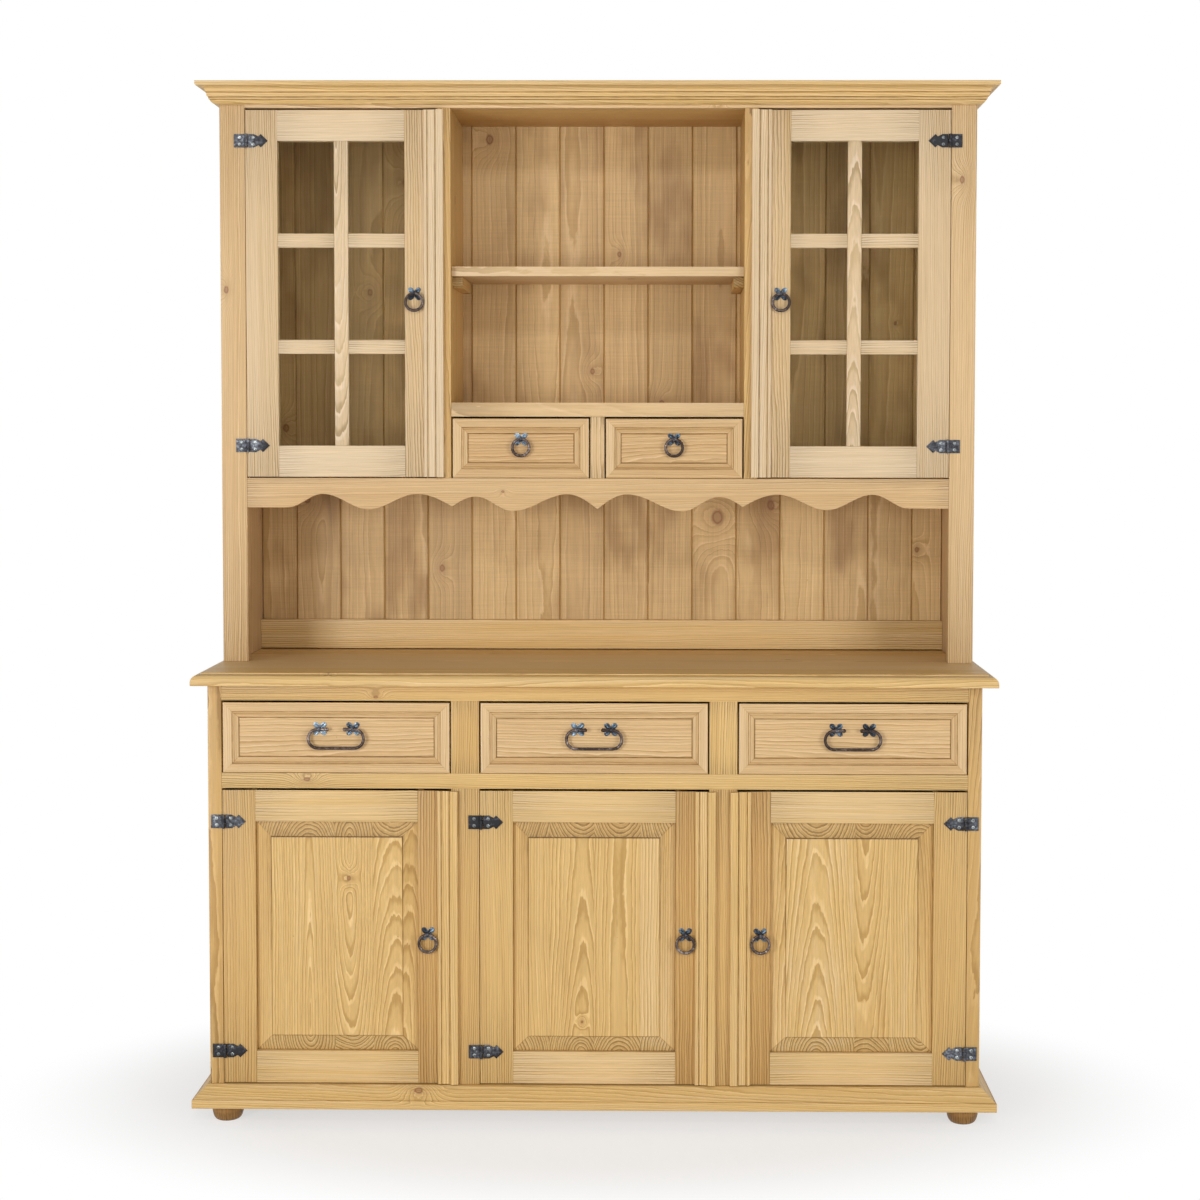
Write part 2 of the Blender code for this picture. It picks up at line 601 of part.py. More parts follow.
def rosette(name, x, face_y, z, wire_radius):
    """A four-leaf plate with an eye for the pull."""
    count = 24
    outline = []
    for i in range(count):
        angle = 2 * math.pi * i / count
        radius = ROSETTE_IN + (ROSETTE_OUT - ROSETTE_IN) * abs(math.sin(2 * angle))
        outline.append((x + radius * math.cos(angle), z + radius * math.sin(angle)))
    plate = iron(extrusion(name, outline, face_y - ROSETTE_T, face_y + SINK, "Y"))
    eye_y = face_y - PULL_STANDOFF
    bore_radius = wire_radius + EYE_CLEARANCE
    outer = bore_radius + EYE_WALL
    left, right = x - EYE_W / 2, x + EYE_W / 2
    eye = iron(rod(f"{name}_eye", outer, (left, eye_y, z), (right, eye_y, z), ROUND))
    join(eye, iron(board(f"{name}_neck", (left, eye_y, z - 0.6 * outer), (right, face_y, z + 0.6 * outer))))
    join(plate, eye)
    cut(plate, rod(f"{name}_bore", bore_radius, (x - ROSETTE_OUT, eye_y, z), (x + ROSETTE_OUT, eye_y, z), ROUND))
    return plate


def ring_pull(name, x, face_y, z, carrier):
    """A ring through an eye, on its own pivot."""
    location = (x, face_y - PULL_STANDOFF, z)
    bpy.ops.mesh.primitive_torus_add(major_segments=24, minor_segments=8, major_radius=RING_RADIUS,
                                     minor_radius=RING_WIRE_R)
    made = bpy.context.object
    mesh = made.data
    bpy.data.objects.remove(made, do_unlink=True)
    mesh.transform(Matrix.Translation((0, 0, -RING_RADIUS)) @ Matrix.Rotation(math.pi / 2, 4, "X"))
    mesh.shade_smooth()
    ring = add_object(name, mesh, IRON)
    ring.location = location
    carry(carrier, ring)


def bail_points():
    """One half of the bail, from its inner end round to the middle of the bottom run."""
    radius = BAIL_HALF_DROP
    turn = arc((BAIL_HALF_LENGTH - radius, -radius), radius, 90, -90, 8)
    ball = BAIL_WIRE_R * BAIL_BALL_SCALE
    tip = [(BAIL_END_X, 0.0, 0.5), (BAIL_END_X + 0.4 * ball, 0.0, BAIL_BALL_SCALE),
           (BAIL_END_X + 1.4 * ball, 0.0, BAIL_BALL_SCALE), (BAIL_END_X + 2 * ball, 0.0, 1.0)]
    return tip + [(x, z, 1.0) for x, z in turn]


def bail_pull(name, x, face_y, z, carrier):
    """A wire bail through two eyes, open between its ball ends."""
    half = bail_points()
    points = half + [(-u, v, scale) for u, v, scale in reversed(half)]
    curve = bpy.data.curves.new(name, "CURVE")
    curve.dimensions = "3D"
    curve.bevel_depth = BAIL_WIRE_R
    curve.bevel_resolution = 2
    curve.use_fill_caps = True
    spline = curve.splines.new("POLY")
    spline.points.add(len(points) - 1)
    for point, (u, v, scale) in zip(spline.points, points):
        point.co = (u, 0.0, v, 1.0)
        point.radius = scale
    curve.materials.append(IRON)
    bail = bpy.data.objects.new(name, curve)
    PARTS.objects.link(bail)
    bail.location = (x, face_y - PULL_STANDOFF, z)
    carry(carrier, bail)


# Doors

def closing_strip(name, lock_x, face_y, low, high, side):
    """Moulded strip on the lock edge that laps over the case; side is the way out of the door."""
    bead_top = 1.5 * STRIP_BEAD_R
    hollow_foot = -STRIP_ON_DOOR + 2 * STRIP_BEAD_R
    points = [(-STRIP_ON_DOOR, -SINK), (-STRIP_ON_DOOR, bead_top - STRIP_BEAD_R)]
    points += arc((-STRIP_ON_DOOR + STRIP_BEAD_R, bead_top - STRIP_BEAD_R), STRIP_BEAD_R, 150, 20, 4)
    points += [(hollow_foot, 0.45 * STRIP_T), (0.5 * hollow_foot, 0.5 * STRIP_T), (-0.0012, 0.72 * STRIP_T),
               (0.0, 0.70 * STRIP_T), (0.0008, STRIP_T), (STRIP_OVERLAP - 0.004, STRIP_T),
               (STRIP_OVERLAP - 0.001, 0.85 * STRIP_T), (STRIP_OVERLAP, 0.5 * STRIP_T),
               (STRIP_OVERLAP, STRIP_LIFT), (-REVEAL, STRIP_LIFT), (-REVEAL, -SINK)]
    return extrusion(name, [(lock_x + side * u, face_y - v) for u, v in points], low, high, "Z")


def hang_door(name, door_x, door_w, door_z, door_h, face_y, hinge_side, pull_z, material):
    """The frame slab of a door with strip, leaves and rosette, and its hinges and ring.

    hinge_side is -1 for hinges on the left. Returns the frame and the empty that swings it."""
    out = -hinge_side
    hinge_edge, lock_edge = door_x + hinge_side * door_w / 2, door_x + out * door_w / 2
    axis_x = hinge_edge + out * HINGE_AXIS_IN
    frame = board(f"{name}_frame", (door_x - door_w / 2, face_y, door_z),
                  (door_x + door_w / 2, face_y + FRAME_T, door_z + door_h), material)
    join(frame, closing_strip(f"{name}_strip", lock_edge, face_y, door_z, door_z + door_h, out))
    for level, z in hinge_levels(door_z, door_h):
        join(frame, door_leaf(f"{name}_{level}_leaf", axis_x, face_y, z, out))
        case_hinge(f"{name}_{level}_hinge", axis_x, face_y, z, out)
    ring_x = lock_edge - out * RING_EDGE
    join(frame, rosette(f"{name}_rosette", ring_x, face_y, pull_z, RING_WIRE_R))
    swing = pivot(f"{name}_hinge_axis", (axis_x, face_y - HINGE_AXIS_OUT, door_z + door_h / 2))
    carry(swing, frame)
    ring_pull(f"{name}_ring", ring_x, face_y, pull_z, swing)
    return frame, swing


def panel_door(name, bay, hinge_side):
    """A base door: grooved frame round a raised panel."""
    door_x, door_w = bay * BASE_BAY_X, BASE_OPENING_W - 2 * REVEAL
    door_z, door_h = FLOOR_Z + REVEAL, CUPBOARD_HEIGHT - 2 * REVEAL
    face_y = BASE_FRONT_Y
    pull_z = door_z + door_h / 2 + DOOR_PULL_RISE
    frame, swing = hang_door(name, door_x, door_w, door_z, door_h, face_y, hinge_side, pull_z, PINE)
    half_w, low, high = door_w / 2 - FRAME_W, door_z + FRAME_W, door_z + door_h - FRAME_W
    opening = board(f"{name}_opening", (door_x - half_w, face_y - FRAME_T, low),
                    (door_x + half_w, face_y + 2 * FRAME_T, high))
    groove_y, groove_back_y = face_y + PANEL_BACK_SET, face_y + PANEL_BACK_SET + PANEL_TONGUE_T + 2 * FIT
    groove = board(f"{name}_groove", (door_x - half_w - GROOVE_D, groove_y, low - GROOVE_D),
                   (door_x + half_w + GROOVE_D, groove_back_y, high + GROOVE_D))
    cut(frame, opening, groove)
    grip = GROOVE_D - FIT
    work = cuboid((door_x - half_w - grip, groove_y + FIT, low - grip),
                  (door_x + half_w + grip, groove_y + FIT + PANEL_TONGUE_T, high + grip))
    work.faces.ensure_lookup_table()
    front = min(work.faces, key=lambda face: face.calc_center_median().y)
    bmesh.ops.recalc_face_normals(work, faces=work.faces)
    for width, rise in ((GROOVE_D, 0.0), (PANEL_BEVEL_W, PANEL_BEVEL_RISE), (PANEL_STEP_W, PANEL_STEP_RISE)):
        bmesh.ops.inset_region(work, faces=[front], thickness=width, depth=rise, use_even_offset=True)
    panel = add_object(f"{name}_panel", mesh_from(work, f"{name}_panel"), PINE)
    carry(swing, panel)


def glazed_door(name, side):
    """A hutch door: frame and glazing bars before one sheet of glass."""
    opening_w = HUTCH_OPENING_X - PARTITION_OUT_X
    door_x, door_w = side * (HUTCH_OPENING_X + PARTITION_OUT_X) / 2, opening_w - 2 * REVEAL
    door_z, door_h = DECK_TOP_Z + REVEAL, GLAZED_HEIGHT - 2 * REVEAL
    face_y = HUTCH_FRONT_Y
    frame, swing = hang_door(name, door_x, door_w, door_z, door_h, face_y, side, door_z + door_h / 2, PALE_PINE)
    half_w, low, high = door_w / 2 - FRAME_W, door_z + FRAME_W, door_z + door_h - FRAME_W
    pane_w, pane_h = half_w - MUNTIN_W / 2, (high - low - 2 * MUNTIN_W) / 3
    for column in (-1, 1):
        for row in range(3):
            centre = door_x + column * (half_w + MUNTIN_W / 2) / 2
            bottom = low + row * (pane_h + MUNTIN_W)
            cut(frame, board(f"{name}_pane_{column}_{row}", (centre - pane_w / 2, face_y - FRAME_T, bottom),
                             (centre + pane_w / 2, face_y + 2 * FRAME_T, bottom + pane_h)))
    glass_y = face_y + MUNTIN_T
    cut(frame, board(f"{name}_glass_groove", (door_x - half_w - GROOVE_D, glass_y, low - GROOVE_D),
                     (door_x + half_w + GROOVE_D, glass_y + GLASS_T + 2 * FIT, high + GROOVE_D)),
        board(f"{name}_rear_opening", (door_x - half_w, glass_y, low),
              (door_x + half_w, face_y + 2 * FRAME_T, high)))
    grip = GROOVE_D - FIT
    glass = board(f"{name}_glass", (door_x - half_w - grip, glass_y + FIT, low - grip),
                  (door_x + half_w + grip, glass_y + FIT + GLASS_T, high + grip), GLASS)
    carry(swing, glass)


# Drawers

def drawer_solid(name, centre_x, width, low, high, floor_z, face_y, rear_y):
    """A drawer with a moulded, sunk front; its box stands on the runner at floor_z."""
    work = cuboid((centre_x - width / 2, face_y, low), (centre_x + width / 2, face_y + FRAME_T, high))
    work.faces.ensure_lookup_table()
    bmesh.ops.recalc_face_normals(work, faces=work.faces)
    front = min(work.faces, key=lambda face: face.calc_center_median().y)
    cove = DRAWER_MOULD_W
    steps = ((DRAWER_BORDER, 0.0), (0.08 * cove, -0.22), (0.20 * cove, 0.0), (0.22 * cove, -0.34),
             (0.30 * cove, -0.20), (0.12 * cove, 0.0), (0.08 * cove, -0.24))
    for inset, share in steps:
        bmesh.ops.inset_region(work, faces=[front], thickness=inset, depth=share * DRAWER_RECESS,
                               use_even_offset=True)
    drawer = add_object(name, mesh_from(work, name), PINE)
    front_back, box_end = face_y + FRAME_T, rear_y - DRAWER_BACK_GAP
    box_low, box_high = floor_z + FIT, high - BOX_DROP
    box = board(f"{name}_box", (centre_x - width / 2, front_back - FRAME_T / 4, box_low),
                (centre_x + width / 2, box_end, box_high))
    inside = board(f"{name}_inside", (centre_x - width / 2 + BOX_WALL, front_back, box_low + BOX_BOTTOM_T),
                   (centre_x + width / 2 - BOX_WALL, box_end - BOX_WALL, box_high + FRAME_T))
    cut(box, inside)
    return join(drawer, box)


def large_drawer(name, bay):
    centre, width = bay * BASE_BAY_X, BASE_OPENING_W - 2 * REVEAL
    low, high = DRAWER_Z + REVEAL, TOP_RAIL_Z - REVEAL
    drawer = drawer_solid(name, centre, width, low, high, DRAWER_Z, BASE_FRONT_Y, BASE_REAR_Y)
    panel_y, pull_z = BASE_FRONT_Y + DRAWER_RECESS, (low + high) / 2 + BAIL_PULL_RISE
    for way in (-1, 1):
        join(drawer, rosette(f"{name}_rosette_{way}", centre + way * BAIL_EYE_X, panel_y, pull_z, BAIL_WIRE_R))
    slide = pivot(f"{name}_slide", (centre, BASE_FRONT_Y, (low + high) / 2))
    carry(slide, drawer)
    bail_pull(f"{name}_bail", centre, panel_y, pull_z, slide)


def small_drawer(name, side):
    centre, width = side * SMALL_BAY_X, SMALL_OPENING_W - 2 * REVEAL
    low, high = DECK_TOP_Z + REVEAL, COMPARTMENT_Z - REVEAL
    drawer = drawer_solid(name, centre, width, low, high, DECK_TOP_Z, HUTCH_FRONT_Y, HUTCH_REAR_Y)
    panel_y, pull_z = HUTCH_FRONT_Y + DRAWER_RECESS, (low + high) / 2 + RING_RADIUS
    join(drawer, rosette(f"{name}_rosette", centre, panel_y, pull_z, RING_WIRE_R))
    slide = pivot(f"{name}_slide", (centre, HUTCH_FRONT_Y, (low + high) / 2))
    carry(slide, drawer)
    ring_pull(f"{name}_ring", centre, panel_y, pull_z, slide)


base_sides()
base_partitions()
base_bottom()
base_back()
base_face_frame()
plinth()
countertop()
hutch_sides()
hutch_face_frame()
hutch_boards()
hutch_back()
valance()
cornice()
panel_door("base_door_left", -1, -1)
panel_door("base_door_middle", 0, -1)
panel_door("base_door_right", 1, 1)
glazed_door("glazed_door_left", -1)
glazed_door("glazed_door_right", 1)
for drawer_name, drawer_bay in (("drawer_left", -1), ("drawer_middle", 0), ("drawer_right", 1)):
    large_drawer(drawer_name, drawer_bay)
for drawer_name, drawer_side in (("small_drawer_left", -1), ("small_drawer_right", 1)):
    small_drawer(drawer_name, drawer_side)
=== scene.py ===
import json
import math
import random
from collections import namedtuple

import bmesh
import bpy
from mathutils import Matrix, Vector


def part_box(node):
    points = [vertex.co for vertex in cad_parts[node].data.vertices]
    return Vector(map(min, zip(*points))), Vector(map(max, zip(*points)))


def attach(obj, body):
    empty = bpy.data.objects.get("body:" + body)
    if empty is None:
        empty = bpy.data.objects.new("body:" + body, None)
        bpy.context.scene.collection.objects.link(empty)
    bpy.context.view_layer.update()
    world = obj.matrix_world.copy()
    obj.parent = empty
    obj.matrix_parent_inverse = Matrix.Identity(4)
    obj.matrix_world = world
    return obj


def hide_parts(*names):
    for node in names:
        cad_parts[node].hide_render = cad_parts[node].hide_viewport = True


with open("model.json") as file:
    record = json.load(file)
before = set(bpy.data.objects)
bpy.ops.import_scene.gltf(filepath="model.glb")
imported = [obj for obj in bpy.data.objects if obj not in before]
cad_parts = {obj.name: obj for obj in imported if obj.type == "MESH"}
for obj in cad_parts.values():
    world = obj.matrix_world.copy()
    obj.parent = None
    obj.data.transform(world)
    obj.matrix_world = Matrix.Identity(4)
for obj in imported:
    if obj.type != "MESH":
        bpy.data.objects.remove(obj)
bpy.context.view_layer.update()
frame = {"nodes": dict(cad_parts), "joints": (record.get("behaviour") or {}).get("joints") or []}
joints = {joint["name"]: joint for joint in frame["joints"]}

# Pine dresser: every board, moulding and fitting is made here over the frame, in metres.

# Fits and edges
FIT = 0.0003             # clearance between pieces that touch
REVEAL = 0.0025          # gap round doors and drawer fronts
DRAWER_FOOT_GAP = 0.0009 # gap under a drawer front
BACK_BEVEL = 0.0035      # edges of doors and drawer fronts planed back from the face
TOP_GAP = 0.0014         # planed off the top edge of a door or a drawer front
END_GAP = 0.0006         # planed off each end of a drawer front
RAIL_LIFT = 0.0024       # slit under the back rail of the niche
BACK_LAP = 0.012         # how far the base's back reaches down behind the bottom board
HINGE_GAP_FILL = 0.0013  # how far a hinge stile reaches into its gap
HAIRLINE = 0.0001        # what shows of a glued joint
WIDE_BOARD = 0.08        # narrower boards seldom show arched grain
KNOT_LENGTH = 0.2        # shorter boards have no knot by chance
CREASE = 0.0022          # extra points beside an inner corner
WAX_REACH = 0.0023       # how far the wax fades beside an inner corner
OPEN_CORNER = 0.3        # a corner that holds less wax than this gets no points beside it
FULL_CORNER = math.radians(70)
MITRE_REACH = 0.0022     # wax beside a mitre, and on a raised panel's bevels painted shade
MITRE_WAX_AND_SHADE = 0.5
EASE = 0.0006            # softened arris of a board
FILED = 0.00035          # softened arris of a leaf of sheet iron
SOFT_ANGLE = math.radians(25)
PANEL_ANGLE = math.radians(8)

# Carcass
FRAME_T = 0.022          # face frames, doors and drawer fronts
SIDE_T = 0.026
STILE_W = 0.054
PARTITION_T = 0.020
RUNNER_W = 0.016
RUNNER_H = 0.020
BOTTOM_T = 0.026
MID_RAIL_H = 0.0295
HUTCH_STILE_W = 0.050
FOOT_RADIUS = 0.0305
FOOT_NECK = 0.022
FOOT_STAND_R = 0.0205
FOOT_INSET = 0.0293
COUNTER_EDGE_W = 0.0173
BACKBOARD_PITCH = 0.0938
BACKBOARD_SHIFT = 0.0055
GROOVE_W = 0.005
GROOVE_D = 0.003

# Scalloped edge of the valance from the middle out: share of the way, height above the lowest point
SCALLOPS = ((0.0, 0.004, "cusp"), (0.096, 0.034, "hump"), (0.273, 0.0, "low"), (0.391, 0.029, "hump"),
            (0.467, 0.009, "cusp"), (0.580, 0.034, "hump"), (0.737, 0.003, "low"), (0.884, 0.034, "hump"),
            (1.0, 0.0065, "low"))
SCALLOP_END_FLAT = 0.080
SCALLOP_STEPS = 14

# Doors and drawers
DOOR_FRAME_W = 0.0625
SEAT_D = 0.009           # groove for a panel or a glass
PANEL_SET = 0.009        # door face to the panel's groove
PANEL_TONGUE = 0.006
PANEL_BEVEL_W = 0.030
PANEL_BEVEL_RISE = 0.0062
PANEL_STEP_W = 0.0012
PANEL_STEP_RISE = 0.0018
BAR_W = 0.028
BAR_T = 0.012
BAR_EASE = 0.0012
GLASS_T = 0.004
STRIP_ON_DOOR = 0.0248
STRIP_OVERLAP = 0.0155
STRIP_T = 0.010
STRIP_BEAD_R = 0.0042
STRIP_NOSE_R = 0.0018
STRIP_LIFT = 0.0006
DRAWER_BORDER = 0.017
DRAWER_MOULD_W = 0.013
DRAWER_RECESS = 0.007
DRAWER_RIM = 0.0028      # wax and painted shade round a drawer's sunk panel
BOX_WALL = 0.012
BOX_BOTTOM_T = 0.008
BOTTOM_EASE = 0.0004
BOX_DROP = 0.024

# Ironwork
HINGE_H = 0.0265
HINGE_OUT = 0.0038       # barrel axis to the door face
BARREL_R = 0.0034
BARREL_RIM = 0.0004
PIN_R = 0.0016
PIN_DOME = 0.0007
LEAF_T = 0.0018
CASE_LEAF_L = 0.0245
LEAF_SHOULDER = 0.0152   # lengths along the door leaf, from the barrel axis
LEAF_NECK = 0.0245
LEAF_BARB = 0.0290
LEAF_TIP = 0.0430
LEAF_NECK_HALF = 0.0085
SCREW_R = 0.0033
SCREW_H = 0.0011
SCREW_ALONG = 0.0135     # barrel axis to the screws
SCREW_APART = 0.0067
ROSETTE_OUT = 0.0162
ROSETTE_IN = 0.0052
ROSETTE_T = 0.0019
ROSETTE_SIDES = 96
ROSETTE_DISH = ((1.0, -0.1), (1.0, 0.45), (0.96, 0.80), (0.85, 0.95), (0.66, 0.85), (0.45, 0.60), (0.2, 0.45))
PULL_STANDOFF = 0.0095
EYE_WALL = 0.0017
EYE_W = 0.0045
EYE_RIM = 0.0005
EYE_CLEARANCE = 0.0004
RING_RADIUS = 0.0169
RING_WIRE_R = 0.0031
RING_TWISTS = 6
RING_STEPS = 120
BAIL_WIRE_R = 0.0030
BAIL_HALF_DROP = 0.0183
BAIL_HALF_LENGTH = 0.0535
BAIL_EYE_X = 0.032
BAIL_END_X = 0.0135
BAIL_BALL = 1.3
BAIL_SWELL = ((0.0, 0.3), (0.25, 0.75), (0.7, 1.0), (1.2, 1.0), (1.7, 0.85), (2.0, 0.77))

# Looks of single boards: shade is paler below 0 and darker above, bold is how strongly the rings show
HINGE_STILE = {"shade": 0.35, "bold": 1.1}
LOCK_STILE = {"shade": 0.75, "bold": 2.0}
DOOR_RAIL = {"shade": -0.35, "bold": 0.6}
CLOSING_STRIP = {"shade": -0.1, "bold": 1.5}
INNER_STILE = {"shade": 0.15, "bold": 1.4}
SUNK_PANEL = {"shade": 0.1, "bold": 1.5}
BOX_SHADE = -0.3
# Sides of a drawer's mitred border: the way of the grain, and a tone that paints each side lighter or darker
# as light falls on it, which also shows the mitres
DRAWER_SIDES_WITH_PAINTED_SHADE = (("foot", "X", 0.2), ("top", "X", 0.0), ("left", "Z", -0.35), ("right", "Z", -0.25))
# The feet are darkened all over: partly their own dark stain, partly painted shade where they stand under the
# plinth
FOOT = {"shade": 1.1, "stain": 0.62}

# Faces of the two stages, and the top of the ledges that the drawers run on
BASE_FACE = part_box("base_face_frame")[0].y
HUTCH_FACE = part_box("hutch_face_frame")[0].y
LEDGE_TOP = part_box("drawer_left")[0].z - FIT

# Boards of the raised panels from left to right: right edge and heart as shares of the panel's width,
# depth and lean of the heart, and a knot as shares of the panel with its size
PANEL_BOARDS = {
    "base_door_left": ((0.485, 0.34, 0.028, 0.045, None), (0.71, 0.575, 0.036, -0.10, (0.57, 0.745, 0.0035)),
                       (1.0, 0.83, 0.028, 0.08, None)),
    "base_door_middle": ((0.24, -0.10, 0.030, 0.02, None), (0.50, 0.425, 0.018, 0.05, (0.43, 0.145, 0.0022)),
                         (0.77, 0.65, 0.022, 0.012, None), (1.0, 1.0, 0.015, 0.01, None)),
    "base_door_right": ((0.52, 0.30, 0.030, 0.07, None), (0.72, 0.58, 0.026, -0.06, None),
                        (1.0, 0.90, 0.030, 0.035, None)),
}

# Knots of the back boards that show: number of the board from the left, share of its height, size
BACK_KNOTS = ((1, 0.277, 0.006), (4, 0.15, 0.005), (5, 0.94, 0.007), (7, 0.515, 0.0045), (8, 0.73, 0.004),
              (10, 0.245, 0.011), (11, 0.268, 0.007))

AXES = {"X": Vector((1, 0, 0)), "Y": Vector((0, 1, 0)), "Z": Vector((0, 0, 1))}
BOTH_SIDES = ("left", "right")
TURN = 2 * math.pi
Finish = namedtuple("Finish", "material slot")


# Node wiring

class Value:
    """A node's output, which takes part in formulas."""

    def __init__(self, wiring, socket):
        self.wiring, self.socket = wiring, socket

    def __add__(self, other):
        return self.wiring.math("ADD", self, other)

    def __sub__(self, other):
        return self.wiring.math("SUBTRACT", self, other)

    def __rsub__(self, other):
        return self.wiring.math("SUBTRACT", other, self)

    def __mul__(self, other):
        return self.wiring.math("MULTIPLY", self, other)

    def __truediv__(self, other):
        return self.wiring.math("DIVIDE", self, other)

    def above(self, level):
        """1 where the value is above a level, else 0."""
        return self.wiring.math("GREATER_THAN", self, level)

    def clamped(self):
        return self.wiring.math("ADD", self, 0.0, use_clamp=True)


class Wiring:
    """Shorthand for placing and linking nodes in one tree."""

    def __init__(self, tree):
        self.tree = tree

    def feed(self, socket, value):
        """Links a socket to an output, or sets it."""
        if isinstance(value, Value):
            self.tree.links.new(value.socket, socket)
        else:
            socket.default_value = value

    def node(self, kind, inputs=(), **settings):
        """A node with its settings, and inputs fed by name or number."""
        made = self.tree.nodes.new(kind)
        for name, value in settings.items():
            setattr(made, name, value)
        for name, value in dict(inputs).items():
            self.feed(made.inputs[name], value)
        return made

    def made(self, kind, inputs=(), output=0, **settings):
        return Value(self, self.node(kind, inputs, **settings).outputs[output])

    def math(self, operation, *values, **settings):
        return self.made("ShaderNodeMath", enumerate(values), operation=operation, **settings)

    def vector(self, operation, *values):
        output = "Value" if operation in ("DOT_PRODUCT", "LENGTH") else "Vector"
        return self.made("ShaderNodeVectorMath", enumerate(values), output, operation=operation)

    def combine(self, *values):
        return self.made("ShaderNodeCombineXYZ", enumerate(values))

    def parts(self, vector):
        return [Value(self, socket) for socket in self.node("ShaderNodeSeparateXYZ", {0: vector}).outputs]

    def noise(self, vector, stretch, detail=2.0, rough=0.5):
        """Noise from -0.5 to 0.5, with the features per metre along each axis."""
        spread = self.vector("MULTIPLY", vector, stretch)
        return self.made("ShaderNodeTexNoise", {"Vector": spread, "Scale": 1.0, "Detail": detail,
                                                "Roughness": rough}) - 0.5

    def fade(self, value, start, end):
        """Eases from 0 at start to 1 at end."""
        return self.made("ShaderNodeMapRange", enumerate((value, start, end, 0.0, 1.0)),
                         interpolation_type="SMOOTHSTEP")

    def blend(self, share, first, second, way="MIX"):
        inputs = {0: share, 6: first, 7: second}
        return self.made("ShaderNodeMix", inputs, 2, data_type="RGBA", blend_type=way)

    def chance(self, low, high, inputs):
        """A random number for each element."""
        made = self.node("FunctionNodeRandomValue", inputs, data_type="FLOAT")
        floats = [socket for socket in made.inputs if socket.type == "VALUE"]
        self.feed(floats[0], low)
        self.feed(floats[1], high)
        return Value(self, next(socket for socket in made.outputs if socket.type == "VALUE"))

    def seen(self):
        """1 for what the camera, a mirror or a glass shows, 0 for light that falls on things."""
        rays = self.node("ShaderNodeLightPath").outputs
        direct, mirrored, through = (Value(self, rays[f"Is {kind} Ray"])
                                     for kind in ("Camera", "Glossy", "Transmission"))
        return self.math("MAXIMUM", self.math("MAXIMUM", direct, mirrored), through)


def srgb(red, green, blue):
    """A colour read from a screen, as the linear values that nodes use."""
    def linear(value):
        value /= 255
        return value / 12.92 if value <= 0.04045 else ((value + 0.055) / 1.055) ** 2.4
    return (linear(red), linear(green), linear(blue), 1.0)


def node_group(name, kind, inputs, outputs):
    """An empty node group; gives its wiring, its inputs by name and the sockets of its results.

    An input is given by its default value, or by the kind of its socket."""
    group = bpy.data.node_groups.new(name, kind)
    for label, value in inputs.items():
        sort = "Color" if isinstance(value, tuple) else "Float" if isinstance(value, float) else value
        socket = group.interface.new_socket(label, in_out="INPUT", socket_type=f"NodeSocket{sort}")
        if sort != value:
            socket.default_value = value
    for label, sort in outputs.items():
        group.interface.new_socket(label, in_out="OUTPUT", socket_type=f"NodeSocket{sort}")
    wiring = Wiring(group)
    given = {socket.name: Value(wiring, socket) for socket in wiring.node("NodeGroupInput").outputs}
    return wiring, given, wiring.node("NodeGroupOutput").inputs


# Finishes

SURFACE = {"Colour": "Color", "Roughness": "Float", "Height": "Float"}


